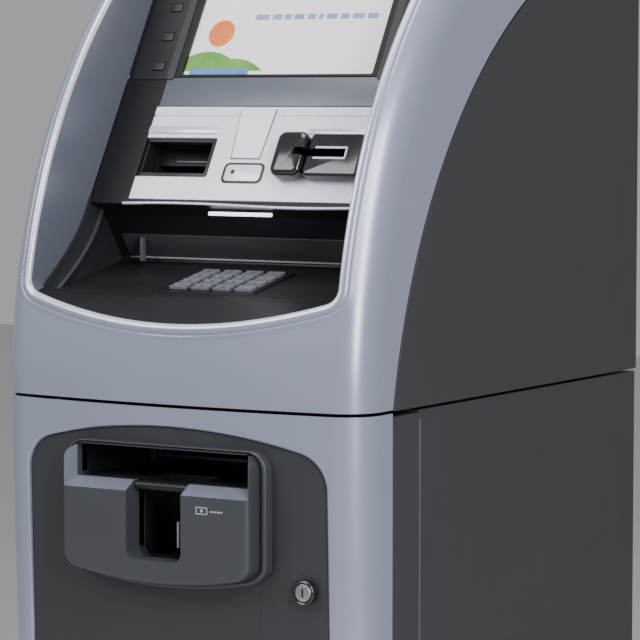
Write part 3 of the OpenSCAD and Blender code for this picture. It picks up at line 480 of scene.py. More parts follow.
# %% Section and path
START_SLOPE = math.atan(2 * BOW * (HALF - CORNER) / HALF ** 2)
for _ in range(6):
    START_SLOPE = math.atan(2 * BOW * (HALF - CORNER + CORNER * math.sin(START_SLOPE)) / HALF ** 2)
ROUND_FROM = HALF - CORNER + CORNER * math.sin(START_SLOPE)
ROUND_BACK = BOW * (ROUND_FROM / HALF) ** 2 + CORNER * math.cos(START_SLOPE)
ROUND_TO = ROUND_FROM + CORNER * (math.pi / 2 - START_SLOPE)


def section(w):
    side, w = (-1 if w < 0 else 1), abs(w)
    if w < ROUND_FROM:
        angle = math.atan(2 * BOW * w / HALF ** 2)
        return side * w, BOW * (w / HALF) ** 2, side * math.sin(angle), math.cos(angle)
    if w < ROUND_TO:
        angle = START_SLOPE + (w - ROUND_FROM) / CORNER
        return (side * (HALF - CORNER + CORNER * math.sin(angle)), ROUND_BACK - CORNER * math.cos(angle),
            side * math.sin(angle), math.cos(angle))
    return side * HALF, ROUND_BACK + w - ROUND_TO, side, 0.0


UPRIGHT = 858.0
RUN = 369.0
RISE = TOP - UPRIGHT
SWEEP_R = (RUN ** 2 + RISE ** 2) / (2 * RUN)
SWEEP_Y = FRONT + SWEEP_R
SOFT_R = 80.0
SWEEP_END = math.asin((RISE - SOFT_R) / (SWEEP_R - SOFT_R))
LOW_RUN = UPRIGHT - hood_low.z
ARC_RUN = SWEEP_R * SWEEP_END
SOFT_RUN = SOFT_R * (math.pi / 2 - SWEEP_END)
SOFT_Y = SWEEP_Y - (SWEEP_R - SOFT_R) * math.cos(SWEEP_END)
HOOD_RUN = LOW_RUN + ARC_RUN + SOFT_RUN + REAR - SOFT_Y


def hood_path(t):
    if t < LOW_RUN:
        return FRONT, hood_low.z + t, -1.0, 0.0
    if t < LOW_RUN + ARC_RUN:
        a = (t - LOW_RUN) / SWEEP_R
        return SWEEP_Y - SWEEP_R * math.cos(a), UPRIGHT + SWEEP_R * math.sin(a), -math.cos(a), math.sin(a)
    if t < LOW_RUN + ARC_RUN + SOFT_RUN:
        a = SWEEP_END + (t - LOW_RUN - ARC_RUN) / SOFT_R
        return SOFT_Y - SOFT_R * math.cos(a), TOP - SOFT_R + SOFT_R * math.sin(a), -math.cos(a), math.sin(a)
    return SOFT_Y + (t - LOW_RUN - ARC_RUN - SOFT_RUN), TOP, 0.0, 1.0


def up_hood(z):
    return LOW_RUN + SWEEP_R * math.asin((z - UPRIGHT) / SWEEP_R) if z > UPRIGHT else z - hood_low.z


def hood_point(w, t, out=0.0, deep=0.0):
    x, back, nx, nd = section(w)
    y, z, ny, nz = hood_path(t)
    back = back + deep - out * nd
    return x + out * nx, y - back * ny, z - back * nz


print("hood path %.0f mm, section round from %.1f to %.1f" % (HOOD_RUN, ROUND_FROM, ROUND_TO))

# %% [markdown]
# ## A window in a pressing
# Both big pressings have one opening with round corners. Its outline is walked
# once round, and each of its points is paired with a point on the pressing's
# outer edge. Rings between the two give the whole skin, so the rolled rim round
# the opening keeps its exact width, even in the corners.

# %% Outline of a window, paired with the outer edge
def window(half, low, high, r_low, r_high, flat, side, bend, edge_low, edge_high, edge_half):
    def slope(rule, w):
        return math.atan((rule(w + 0.5) - rule(w - 0.5)))

    a_low, a_high = 0.2, 0.2
    for _ in range(12):
        a_low = max(0.0, slope(low, half - r_low + r_low * math.sin(a_low)))
        a_high = max(0.0, -slope(high, half - r_high + r_high * math.sin(a_high)))
    foot, head = half - r_low + r_low * math.sin(a_low), half - r_high + r_high * math.sin(a_high)
    foot_t, head_t = low(foot) + r_low * math.cos(a_low), high(head) - r_high * math.cos(a_high)
    walk = [(foot * i / flat, low(foot * i / flat)) for i in range(flat)]
    walk += [(half - r_low + r_low * math.sin(a),
        foot_t - r_low * math.cos(a)) for a in (a_low + (math.pi / 2 - a_low) * i / bend for i in range(bend))]
    walk += [(half, foot_t + (head_t - foot_t) * i / side) for i in range(side)]
    walk += [(half - r_high + r_high * math.sin(a),
        head_t + r_high * math.cos(a)) for a in (math.pi / 2 - (math.pi / 2 - a_high) * i / bend for i in range(bend))]
    walk += [(head * (1 - i / flat), high(head * (1 - i / flat))) for i in range(flat + 1)]
    turn_low, turn_high = flat + bend // 2, flat + bend + side + bend // 2
    pairs = []
    for k, (w, t) in enumerate(walk):
        if k <= turn_low:
            outer = (edge_half(edge_low) * k / turn_low, edge_low)
        elif k <= turn_high:
            up = edge_low + (edge_high - edge_low) * (k - turn_low) / (turn_high - turn_low)
            outer = (edge_half(up), up)
        else:
            outer = (edge_half(edge_high) * (len(walk) - 1 - k) / (len(walk) - 1 - turn_high), edge_high)
        pairs.append(((w, t), outer))
    pairs += [((-w, t), (-ow, ot)) for (w, t), (ow, ot) in pairs[-2:0:-1]]
    count = len(pairs)
    found = []
    for k, (here, outer) in enumerate(pairs):
        before, after = pairs[k - 1][0], pairs[(k + 1) % count][0]
        along = Vector((after[0] - before[0], after[1] - before[1])).normalized()
        found.append((Vector(here), Vector((along.y, -along.x)), Vector(outer)))
    return found


# %% [markdown]
# ## The rim of a window
# Each station of the rim is a step away from the opening and a depth below the
# skin. The opening's edge is rolled, a shallow groove runs round it, and a fine
# ridge stands beyond the groove. Past the rim the skin runs out to its edge.

# %% Stations of a rim, and the skin they make
def rolled_edge(roll):
    fine = 6
    return [(roll - roll * math.cos(a),
        roll - roll * math.sin(a)) for a in (math.pi / 2 * i / fine for i in range(fine + 1))]


def rim_stations(roll, groove_at, groove_deep, ridge_at, ridge_high, settle):
    stations = rolled_edge(roll)
    stations += [((roll + groove_at) / 2, 0.0), (groove_at, 0.0), (groove_at + 0.5, groove_deep * 0.7),
        (groove_at + 1.1, groove_deep), (groove_at + 1.8, groove_deep * 0.6),
        (ridge_at - 1.0, -ridge_high * 0.7), (ridge_at, -ridge_high), (ridge_at + 1.2, -ridge_high * 0.7),
        ((ridge_at + settle) / 2 + 0.6, -ridge_high * 0.2), (settle, 0.0)]
    return stations


def pressing(found, surface, depth_of, stations, rings, hem=2.5, walls=(1.0, 0.75, 0.5, 0.25), finish_of=None):
    count = len(found)
    settle = stations[-1][0]
    rows = [("wall", share) for share in walls] + [("rim", s) for s in stations]
    rows += [("skin", (i + 1) / rings) for i in range(rings)] + [("hem", 1.0), ("hem", hem)]

    def rule(i, j):
        here, outward, outer = found[i]
        kind, value = rows[j]
        if kind == "wall":
            start = stations[0][1]
            return surface(here.x, here.y, 0.0, start + (depth_of(i) - start) * value)
        if kind == "rim":
            place = here + outward * value[0]
            return surface(place.x, place.y, 0.0, value[1])
        if kind == "skin":
            start = here + outward * settle
            place = start + (outer - start) * value
            return surface(place.x, place.y)
        return surface(outer.x, outer.y, -value)

    return bent_sheet(count, len(rows) - 1, rule, closed=True, finish_of=finish_of)


print("pressings can be made")

# %% [markdown]
# ## The hood
# The hood is one silver pressing, hinged at the back. Its opening frames the
# control panel. The cheeks, the sides of the opening, run back to the panel's
# slope, and at the lip they stop after a few millimetres, over the keypad shelf.
# The cheeks are painted a darker grey for the shade they stand in, and the rolled
# rim a paler grey as a painted highlight.

# %% Hood
SEAM, SIDE_R, SIDE_TOP_DROP, PAST_ARC = box_mm("side_panel_right")[0].z, 554.5, 81, 78.0
chord = Vector((REAR - FLANGE - 3, TOP - SIDE_TOP_DROP - SEAM))
lift = math.sqrt(SIDE_R ** 2 - (chord.length / 2) ** 2)
SIDE_Y = FLANGE + 3 + chord.x / 2 + lift * chord.y / chord.length
SIDE_Z = SEAM + chord.y / 2 - lift * chord.x / chord.length
SIDE_R += 2.5
print("side panel arc centre (%.1f, %.1f)" % (SIDE_Y, SIDE_Z))


def hood_edge(t):
    y, z, ny, nz = hood_path(t)
    py, pz = y - SIDE_Y, z - SIDE_Z
    b = -(py * ny + pz * nz)
    c = py * py + pz * pz - SIDE_R ** 2
    root = b * b - c
    back = abs(-b - math.sqrt(root)) if root > 0 else PAST_ARC
    return ROUND_TO + back - ROUND_BACK


def to_panel(t):
    y, z, ny, nz = hood_path(t)
    lean = math.tan(PANEL_LEAN)
    gap = (PANEL_Y + lean * (z - PANEL_Z)) - y
    return gap / (-ny + lean * nz)


LIP, LIP_RISE, LIP_SPAN, BROW_Z = 922.0, 21.0, 150, TOP - 63
WINDOW_X = panel_high_corner.x + 1.0
window_half = WINDOW_X
if WINDOW_X >= ROUND_FROM:
    window_half = ROUND_FROM + CORNER * (math.asin((WINDOW_X - HALF + CORNER) / CORNER) - START_SLOPE)
hood_window = window(window_half, lambda w: up_hood(LIP + LIP_RISE * (w / LIP_SPAN) ** 2),
    lambda w: up_hood(BROW_Z) - 8 * (w / LIP_SPAN) ** 2, 16, 40, 54, 92, 16, 0.0, HOOD_RUN, hood_edge)


def cheek_depth(i):
    here, outward, outer = hood_window[i]
    z = hood_path(here.y)[1]
    rise = min(1.0, max(0.0, (z - LIP - 24) / 18))
    rise = rise * rise * (3 - 2 * rise)
    return 7 + (to_panel(here.y) - 7 - section(here.x)[1]) * rise


# Rows of the cheek walls take the painted shade, rows of the rolled rim the painted highlight.
skin = pressing(hood_window, hood_point, cheek_depth, rim_stations(5.0, 9.0, 1.1, 12.2, 0.5, 17.0), 34,
    finish_of=lambda j: 1 if j < 4 else 2 if j < 10 else 0)
skin = walled(facing(skin, (0, 150, 1000)), SKIN_WALL, HALF)
piece("hood_skin", skin, silver_paint, "hood", "hood_shell", "fascia_silver", angle=60,
    extra=(cheek_shade_paint, rim_highlight_paint))

# %% [markdown]
# ## The door's fascia
# Below the seam the same section runs straight down, leaning back very slightly.
# Its window has an arched top, and holds a dark insert.

# %% Door fascia
DOOR_LEAN, LEANS_BELOW = 0.03, 792
DOOR_TOP = door_high.z + 3.4


def door_front(z):
    return FRONT + max(0.0, LEANS_BELOW - z) * DOOR_LEAN


def door_point(w, z, out=0.0, deep=0.0):
    x, back, nx, nd = section(w)
    return x + out * nx, min(door_front(z) + back + deep - out * nd, FLANGE), z


def door_edge(z):
    return ROUND_TO + FLANGE - door_front(z) - ROUND_BACK


insert_low, insert_high = box_mm("door_insert")
INSERT_HALF, CROWN, ARCH = HALF - 37, insert_high.z + 0.3, 24.0
ARCH_R = (INSERT_HALF ** 2 + ARCH ** 2) / (2 * ARCH)
door_window = window(INSERT_HALF, lambda w: insert_low.z - 0.3,
    lambda w: CROWN - ARCH_R + math.sqrt(ARCH_R ** 2 - w * w), 35, 35, 50, 90, 16, door_low.z, DOOR_TOP,
    door_edge)
skin = pressing(door_window, door_point, lambda i: 9.0, rolled_edge(3.2) + [(6.0, 0.0), (8.0, 0.0)], 26,
    walls=(1.0, 0.5))
skin = facing(skin, (0, -200, 400))
piece("fascia_skin", skin, silver_paint, "decor_door", "door_fascia", "fascia_silver", angle=60, wall=SKIN_WALL)

# %% [markdown]
# ## The insert
# The insert's shape in the frame is right: a bowed plate with an arched top and
# holes for the cash mouth and the lock. It is copied, merged, leant back with the
# fascia, and its edges are softened. A CAD node's own mesh is left as it is.

# %% Door insert
def lean_back(p):
    return Vector((p.x, p.y + (door_front(p.z) - FRONT) * min(1.0, max(0.0, (FLANGE - p.y) / 70)), p.z))


softened("door_insert", insert_plastic, "decor_door", "insert_grey", bevel=0.5, rule=lean_back)

# %% [markdown]
# ## The cash shroud
# The shroud is the thick moulding that the notes come out of. It starts as a
# block with round corners, its underside is given a sag, and then the mouth, the
# finger notch and the wide chamfer round the mouth are cut. It stands in a low
# flange with a raised rim, which leaves a dark groove round it.

# %% Shroud
shroud_low, shroud_high = box_mm("dispenser_shroud")
chute_low, chute_high = box_mm("cash_chute")
MOUTH_HALF, NOTCH_HALF = chute_high.x - 2, 31.0
MOUTH_LOW, MOUTH_TOP, NOTCH_LOW = chute_high.z - 33, chute_high.z - 2, chute_low.z + 2


def sagged(bm, low, half, sag):
    for x in range(-90, 91, 15):
        bmesh.ops.bisect_plane(bm, geom=bm.verts[:] + bm.edges[:] + bm.faces[:], plane_co=(x, 0, 0),
            plane_no=(1, 0, 0))
    middle = low + 60
    for vert in bm.verts:
        if vert.co.z < middle:
            vert.co.z += sag * (vert.co.x / half) ** 2 * (middle - vert.co.z) / (middle - low)
    return bm


front = shroud_low.y + 0.3
bulk = sagged(block(-105, 105, front, FRONT + 9, shroud_low.z + 5, shroud_high.z - 2.5, corner=15, along="Y",
    edge=5, steps=8, edge_steps=4), shroud_low.z + 5, 105, 12)
flange = sagged(block(-113, 113, FRONT - 3, FRONT + 10, shroud_low.z, shroud_high.z, corner=18, along="Y",
    edge=1.6, steps=8), shroud_low.z, 113, 14)
well = sagged(block(-109, 109, FRONT - 8, FRONT + 1, shroud_low.z + 3.6, shroud_high.z - 0.8, corner=15,
    along="Y", steps=8), shroud_low.z + 3.6, 109, 13)
flange = combine(flange, [well])
mouth = block(-MOUTH_HALF, MOUTH_HALF, front - 5, FRONT + 30, MOUTH_LOW, MOUTH_TOP, corner=3, along="Y")
notch = block(-NOTCH_HALF, NOTCH_HALF, front - 5, FRONT + 30, NOTCH_LOW, MOUTH_TOP - 1, corner=9, along="Y")
chamfer = block(-MOUTH_HALF, MOUTH_HALF, front - 2, front + 14, MOUTH_LOW, MOUTH_TOP + 30)
for vert in chamfer.verts:
    if vert.co.y < front:
        vert.co.x *= 1.10
        if vert.co.z < MOUTH_TOP:
            vert.co.z -= 10
bulk = combine(bulk, [mouth.copy(), chamfer, notch.copy()])
bulk.normal_update()
# Faces of the chamfer round the mouth take the paler grey, a painted highlight.
for face in bulk.faces:
    middle, out = face.calc_center_median(), face.normal
    inward = -out.x if middle.x > 0 else out.x
    to_mouth = out.z > 0.3 or (inward > 0.3 and abs(middle.x) > 50)
    if to_mouth and out.y < -0.2 and middle.y < front + 13 and MOUTH_LOW - 15 < middle.z < MOUTH_TOP:
        face.material_index = 1
flange = combine(flange, [mouth, notch])
piece("shroud_skin", bulk, shroud_plastic, "decor_door", "dispenser_shroud", "insert_grey", bevel=1.1,
    segments=3, extra=(chamfer_highlight,))
piece("shroud_flange", flange, shroud_plastic, "decor_door", (), "insert_grey", bevel=0.6)

# %% [markdown]
# ## Small parts of the mouth
# A rounded guide bridges the notch behind the mouth, a fine pale strip in the
# notch is a painted highlight, and a bank note sign tells the user what comes out.
# The sign is only a frame, a disc and bars, so it says nothing in any language.

# %% Guide, notch highlight and note sign
guide = block(-NOTCH_HALF + 2, NOTCH_HALF - 2, FRONT - 8, FRONT + 12, MOUTH_LOW - 9, MOUTH_LOW - 1, corner=3.6,
    along="X", steps=6)
piece("note_guide", guide, recess_plastic, "decor_door", (), "recess_black")
# A pale strip in the notch: a painted highlight.
strip = block(9.5, 12, FRONT + 4, FRONT + 9, NOTCH_LOW + 10, NOTCH_LOW + 34, corner=1)
piece("notch_highlight_strip", strip, pale_ink_and_highlight, "decor_door", (), "key_plastic")
sign_y = front - 0.15
sign = combine(block(48, 61, sign_y, front + 1, 749.5, 756.5, corner=1, along="Y"),
    [block(49, 60, front - 3, front + 3, 750.5, 755.5)])
marks = [sign, block(53, 56, sign_y, front + 1, 751.5, 754.5, corner=1.4, along="Y")]
marks += [block(x, x + w, sign_y, front + 1, 752, 753.6) for x, w in ((64, 3), (68, 2.4), (71.4, 3), (75.4, 2))]
piece("note_sign", joined(*marks), pale_ink_and_highlight, "decor_door", (), "key_plastic")

# %% [markdown]
# ## The lock
# A lock is turned on a lathe, so its bezel and plug are outlines spun round its
# axis. The plug keeps its keyway, and turns with the lock's cam.

# %% Lock
def spun(outline, x, z):
    bm = bmesh.new()
    verts = [bm.verts.new((x + r, y, z)) for r, y in outline]
    edges = [bm.edges.new((a, b)) for a, b in zip(verts, verts[1:])]
    bmesh.ops.spin(bm, geom=verts + edges, cent=(x, 0, z), axis=(0, 1, 0), angle=math.tau, steps=48,
        use_merge=True)
    bmesh.ops.remove_doubles(bm, verts=bm.verts, dist=0.01)
    bmesh.ops.recalc_face_normals(bm, faces=bm.faces)
    return bm


bezel_low, bezel_high = box_mm("lock_bezel")
lock_x, lock_z, lock_y = (bezel_low.x + bezel_high.x) / 2, (bezel_low.z + bezel_high.z) / 2, bezel_low.y
bezel = spun([(8.9, lock_y + 8), (8.9, lock_y + 1.2), (9.3, lock_y + 0.4), (10.2, lock_y), (11, lock_y + 0.3),
    (11.8, lock_y + 1.4), (12, lock_y + 3), (12, lock_y + 8), (8.9, lock_y + 8)], lock_x, lock_z)
piece("lock_bezel_skin", bezel, gloss_plastic, "decor_door", "lock_bezel", "gloss_black")
plug = spun([(0, lock_y + 0.1), (6.2, lock_y + 0.1), (7.9, lock_y + 0.5), (8.5, lock_y + 1.2),
    (8.5, lock_y + 20), (0, lock_y + 20)], lock_x, lock_z)
plug = combine(plug, [block(lock_x - 0.9, lock_x + 0.9, lock_y - 3, lock_y + 9, lock_z - 4.2, lock_z + 4.2)])
cam_shaft = spun([(0, lock_y + 19), (5, lock_y + 19), (5, -243.5), (0, -243.5)], lock_x, lock_z)
cam = block(lock_x - 7, lock_x + 7, -245, -242, lock_z - 34, lock_z + 7, corner=6.5, along="Y", edge=0.4)
piece("lock_plug_skin", joined(plug, cam_shaft, cam), zinc_plate, "door_lock", "lock_plug", "zinc", bevel=0.2)

# %% [markdown]
# ## The control panel
# Everything on the panel is drawn flat, in the panel's own frame, then stood on
# its slope. The dark plate has windows for the screen and the band, and a hole
# for each function key. A paler strip runs beside the screen on each side.

# %% Panel plate and strips
def on_panel(name, bm, material, slot, stands_for=(), **rest):
    piece(name, moved(bm, panel_place), material, "hood", stands_for, slot, **rest)


WIDE = panel_high_corner.x
KEY_X, KEY_FIRST, KEY_PITCH = 141.0, 9.0, 34.0
KEY_HALF_X, KEY_HALF_S = 7, 4.5


def fkey_block(s, i, h0, h1, grow=0, edge=0.0):
    x, up = s * KEY_X, KEY_FIRST + i * KEY_PITCH
    return block(x - KEY_HALF_X - grow, x + KEY_HALF_X + grow, up - KEY_HALF_S - grow, up + KEY_HALF_S + grow,
        h0, h1, corner=2, edge=edge)


def fkey_holes(grow):
    return [fkey_block(s, i, -12, 6, grow) for s in (-1, 1) for i in range(4)]


plate = combine(block(-WIDE, WIDE, -145.5, 171, -4, 0), [block(-111, 111, 0, 133, -9, 4, corner=2),
    block(-126.5, 126.5, -140.5, -3, -9, 4), block(-127.5, 133.5, -140.5, -36.5, -9, 4)] + fkey_holes(0.5))
on_panel("panel_plate", plate, panel_plastic, "recess_black", "panel_frame", bevel=0.7)
strips = [block(s * 144.5 - 24, s * 144.5 + 24, -6, 150, 0, 0.8, corner=3) for s in (-1, 1)]
strips = combine(joined(*strips), fkey_holes(0.6))
on_panel("fkey_strips", strips, recess_plastic, "recess_black", bevel=0.3)
inner = joined(*[block(s * 122.5 - 4.5, s * 122.5 + 4.5, -6, 150, 0, 1.1, corner=2) for s in (-1, 1)])
on_panel("screen_side_strips", inner, strip_resin, "insert_grey", bevel=0.3)

# %% [markdown]
# ## Screen
# The glass lies behind the plate. Its picture is a pale ground with a hill, a
# sun, a strip of water and rows of bars, as a plain standby picture would be,
# each a very thin piece that glows.

# %% Screen and its picture
on_panel("screen_pane", block(-115, 115, -2.5, 137, -7, -4), screen_glow, "screen", "screen_glass")
orange = glowing("picture orange", "#b5542c", "#d98045", 0.5, drift=40)
leaf = glowing("picture green", "#3f7038", "#6f9a4a", 0.5, drift=40)
water = glowing("picture blue", "#3a5c96", "#6585b8", 0.5, drift=40)
bars_blue = glowing("picture bars", "#7278a8", "#8d92bc", 0.45, drift=40)


def disc(x, s, r, h0, h1):
    bm = bmesh.new()
    bmesh.ops.create_cone(bm, cap_ends=True, segments=40, radius1=r, radius2=r, depth=h1 - h0,
        matrix=Matrix.Translation((x, s, (h0 + h1) / 2)))
    return bm


def slice_of(bm, s_low):
    bmesh.ops.bisect_plane(bm, geom=bm.verts[:] + bm.edges[:] + bm.faces[:], plane_co=(0, s_low, 0),
        plane_no=(0, -1, 0), clear_outer=True)
    bmesh.ops.holes_fill(bm, edges=[e for e in bm.edges if e.is_boundary])
    return bm


hill = joined(slice_of(disc(-88, -22, 50, -4, -3.7), 6), slice_of(disc(-56, -34, 54, -4, -3.75), 6))
on_panel("picture_hill", hill, leaf, "screen")
on_panel("picture_sun", disc(-80, 49, 15, -4, -3.8), orange, "screen")
on_panel("picture_water", block(-105, -35, 1.5, 8, -4, -3.6, corner=2), water, "screen")
rows = [(-45, 16), (-25, 11), (-11, 8), (0, 12), (16, 9), (29, 5), (38, 12), (54, 10), (68, 13), (85, 12)]
rows = [block(x, x + w, 64, 70, -4, -3.8, corner=1) for x, w in rows]
on_panel("picture_bars", joined(*rows), bars_blue, "screen")

# %% [markdown]
# ## Trim strip, band and lip
# Below the screen come a grey strip, then a silver band that wraps the receipt
# mouth in a C, then a dark groove and a bright lip over the keypad recess. The
# band's silver is lifted almost to white as a painted reflection, and the lip's
# pale silver is a painted highlight. A fan of metal in the middle of the band
# fades downwards, so its lower end is sunk.

# %% Strip, band and lip
on_panel("trim_strip_skin", block(-126, 126, -36, -3.5, -4, 0, edge=0.8), trim_grey_and_highlight, "insert_grey",
    "trim_strip")
band = block(-127, 133, -140, -37, -4, 1)
groove = block(-140, -24, -48.2, -46.6, -0.4, 3), block(18, 140, -48.2, -46.6, -0.4, 3)
band = combine(band, [block(-140, -43, -115, -72, -8, 4, corner=2.5), block(47, 125, -110, -77, -8, 4),
    *groove])
on_panel("band_skin", band, band_silver_and_reflection, "fascia_silver", "receipt_band", bevel=0.9, segments=3)
for name, grow, high, look, where in (("fan_shadow", 1.3, 1.4, trim_grey_and_highlight, "insert_grey"),
        ("band_fan", 0.0, 2.6, band_silver_and_reflection, "fascia_silver")):
    fan = block(-24 - grow, 16 + grow, -94 - grow, -40, 0.6, high)
    for vert in fan.verts:
        if vert.co.y < -60:
            vert.co.x = -3 + (vert.co.x + 3) * 0.8
            vert.co.z -= 1.0 if vert.co.z > 2 else 0.0
    on_panel(name, fan, look, where, bevel=0.5)
# The brows take the paler silver, a painted highlight along their bulge.
brows = [block(-127, -44, -67.5, -59.5, 0.4, 2.4, edge=0.9), block(60, 129, -67.5, -61, 0.4, 2.2, edge=0.9)]
on_panel("band_brows", joined(*brows), rim_highlight_paint, "fascia_silver")
lip = bent_sheet(60, 8, lambda i, j: (-133 + 266 * i / 60,
    -144.6 + 1.2 * math.sin(math.tau * i / 60) + 1.7 * math.sin(math.tau * j / 8),
    -1.0 + 1.7 * math.cos(math.tau * j / 8)))
bmesh.ops.remove_doubles(lip, verts=lip.verts, dist=0.01)
bmesh.ops.holes_fill(lip, edges=[e for e in lip.edges if e.is_boundary])
bmesh.ops.recalc_face_normals(lip, faces=lip.faces)
# The curled lip is painted pale, a painted highlight on its curl.
on_panel("panel_lip", lip, lip_highlight_and_trim, "fascia_silver", angle=50)

# %% [markdown]
# ## Receipt mouth and jack plate
# A dark frame lines the mouth, with a pale bar inside it, a painted highlight on
# the mouth's exit lip. The jack plate between the mouths is a small round-cornered
# plate on a dark shadow line.

# %% Receipt mouth and jack plate
lining = combine(block(-125, -43.3, -114.7, -72.3, -5, 0.3, corner=3),
    [block(-130, -47.5, -110.5, -76.5, -9, 4, corner=2)])
on_panel("receipt_lining", lining, gloss_plastic, "gloss_black", bevel=0.4)
# A pale bar inside the mouth: a painted highlight on its exit lip.
on_panel("receipt_lip_highlight", block(-92, -46, -93.2, -91.8, -12.5, -10.5, edge=0.3), trim_grey_and_highlight, "key_plastic")
shadow = block(-25, 22, -121.4, -99, 0.4, 1.5, corner=6, edge=0.3)
on_panel("jack_shadow", shadow, dark_ink, "recess_black")
jack = combine(block(-21.8, 19.2, -119.2, -101.6, 0.8, 2.3, corner=4.2, edge=0.5),
    [disc(-13, -109.5, 2.6, 0, 4)])
on_panel("jack_plate", jack, band_silver_and_reflection, "fascia_silver")

# %% [markdown]
# ## Card bezel
# Two glossy swellings guide the card in, with a gap between them for a finger
# and thumb. The slot runs through both, and a bright line frames its near end.

# %% Card bezel
slot_cut = block(60, 116, -97.5, -89.5, -6, 30)
left_swell = block(37, 71.5, -118.5, -71, 0.4, 18, corner=9, edge=6, steps=8, edge_steps=6)
right_swell = block(73, 135, -117.5, -72, 0.4, 14, corner=5, edge=3, steps=8, edge_steps=5)
seat = block(46, 130, -114, -75, 0.4, 9, corner=6, edge=1)
bezel = combine(left_swell, [right_swell, seat], "UNION")
bezel = combine(bezel, [slot_cut])
on_panel("card_bezel_skin", bezel, gloss_plastic, "gloss_black", "card_bezel", bevel=0.5, segments=3)
frame_bars = [block(82, 118, -89, -87, 13.6, 14.5), block(82, 118, -100.4, -98.4, 13.6, 14.5),
    block(116.2, 118, -100.4, -87, 13.6, 14.5)]
on_panel("slot_frame", joined(*frame_bars), lip_highlight_and_trim, "fascia_silver")

# %% [markdown]
# ## Function keys
# Eight small caps, four on each side of the screen. Each one is its own piece,
# because each can be pressed.

# %% Function keys
for side, s in (("left", -1), ("right", 1)):
    for i in range(4):
        cap = fkey_block(s, i, -5, 1.5, edge=0.6)
        name = "fkey_%s_%d" % (side, i + 1)
        piece(name + "_cap", moved(cap, panel_place), fkey_resin, name + "_cap", name, "key_plastic")

# %% [markdown]
# ## Keypad shelf
# The shelf is one dark moulding: an apron rising from the lip, a gently sloping
# shelf, a back wall that leans over it, and a ceiling. Its side outline is bent
# along a path with soft corners, and its front edge follows the hood's bow and
# the rise of the lip towards the sides.

# %% Shelf
def soft_path(corners, radius, fine=6):
    points = [Vector(corners[0])]
    for before, here, after in zip(corners, corners[1:], corners[2:]):
        before, here, after = Vector(before), Vector(here), Vector(after)
        r = min(radius, (before - here).length * 0.45, (after - here).length * 0.45)
        start, end = here + (before - here).normalized() * r, here + (after - here).normalized() * r
        for k in range(fine + 1):
            t = k / fine
            points.append(start * (1 - t) ** 2 + here * 2 * t * (1 - t) + end * t * t)
    return points + [Vector(corners[-1])]


TRAY_HALF = box_mm("keypad_tray")[1].x
SHELF_FRONT, SHELF_REAR = (FRONT + 55, LIP + 22), (FRONT + 174, LIP + 46)
CEILING = (panel_low_corner.y + 20, panel_low_corner.z - 4)
shelf_outline = soft_path([(FRONT + 9.4, LIP - 1.5), SHELF_FRONT, SHELF_REAR, CEILING,
    (CEILING[0] - 17.5, CEILING[1] + 5.5)], 9)


def shelf_point(i, j):
    x = -TRAY_HALF + 2 * TRAY_HALF * i / 64
    point = shelf_outline[j]
    share = max(0.0, min(1.0, (SHELF_FRONT[0] - point.x) / (SHELF_FRONT[0] - shelf_outline[0].x)))
    return (x, point.x + (BOW * (x / HALF) ** 2) * share,
        point.y + (LIP_RISE * (x / LIP_SPAN) ** 2 - 1.0) * share * 0.98)


shelf = bent_sheet(64, len(shelf_outline) - 1, shelf_point)
shelf = facing(shelf, (0, -100, 900))
bmesh.ops.solidify(shelf, geom=shelf.faces[:], thickness=2.6)
bmesh.ops.recalc_face_normals(shelf, faces=shelf.faces)
pad_hole = moved(block(-54.6, 54.6, -8.6, 72.1, -30, 22, corner=4), pad_place)
shelf = combine(shelf, [pad_hole])
piece("keypad_shelf", shelf, recess_plastic, "hood", "keypad_tray", "recess_black", angle=40)

# %% [markdown]
# ## Back wall, ledge and lamp
# A paler plate covers the lower part of the back wall, painted light where that
# wall is lit, and ends in a fine bright ledge, a painted highlight. A narrow grey
# strip in the left corner of the recess is a painted highlight too. The lamp hangs
# under the ceiling.

# %% Back plate, ledge and corner strip of painted light, and lamp
wall_rise = Vector((0, CEILING[0] - SHELF_REAR[0], CEILING[1] - SHELF_REAR[1])).normalized()
wall_out = Vector((1, 0, 0)).cross(wall_rise)
wall_place = Matrix(((1, 0, 0, 0), (0, wall_rise.y, wall_out.y, SHELF_REAR[0]),
    (0, wall_rise.z, wall_out.z, SHELF_REAR[1]), (0, 0, 0, 1)))
piece("recess_back_painted_light", moved(block(-160, 160, 7, 34, 0, 1.4, corner=3, edge=0.4), wall_place), painted_light_resin,
    "hood", (), "insert_grey")
piece("recess_ledge_highlight", moved(block(-160, 160, 5.2, 6.6, 0, 2.6, edge=0.4), wall_place), pale_ink_and_highlight, "hood", (),
    "key_plastic")
lamp_low, lamp_high = box_mm("light_bar")
corner_highlight_y = SHELF_REAR[0] - 25
piece("recess_corner_highlight", block(-133.8, -131.4, corner_highlight_y, corner_highlight_y + 7, LIP + 47, LIP + 71, edge=0.3),
    trim_grey_and_highlight, "hood", (), "key_plastic")
piece("lamp_bar", block(lamp_low.x, lamp_high.x, lamp_low.y, lamp_high.y, lamp_low.z, lamp_high.z - 1.4,
    corner=1.5, along="X", edge=0.4), lamp_glow, "hood", "light_bar", "lamp")

# %% [markdown]
# ## Wings
# At each end of the shelf a dark wing sweeps forward in an S, from the panel's
# foot to the corner of the lip. Its edge carries a rib, a little inside it, and
# the rib's faces take a paler grey, a painted highlight.

# %% Wings
def wing_edge(t):
    top, foot = Vector((panel_low_corner.y, panel_low_corner.z + 8)), Vector((FRONT + 31, LIP + 20))
    return top.lerp(foot, t) + Vector((12, 0)) * math.sin(math.pi * t ** 0.9)


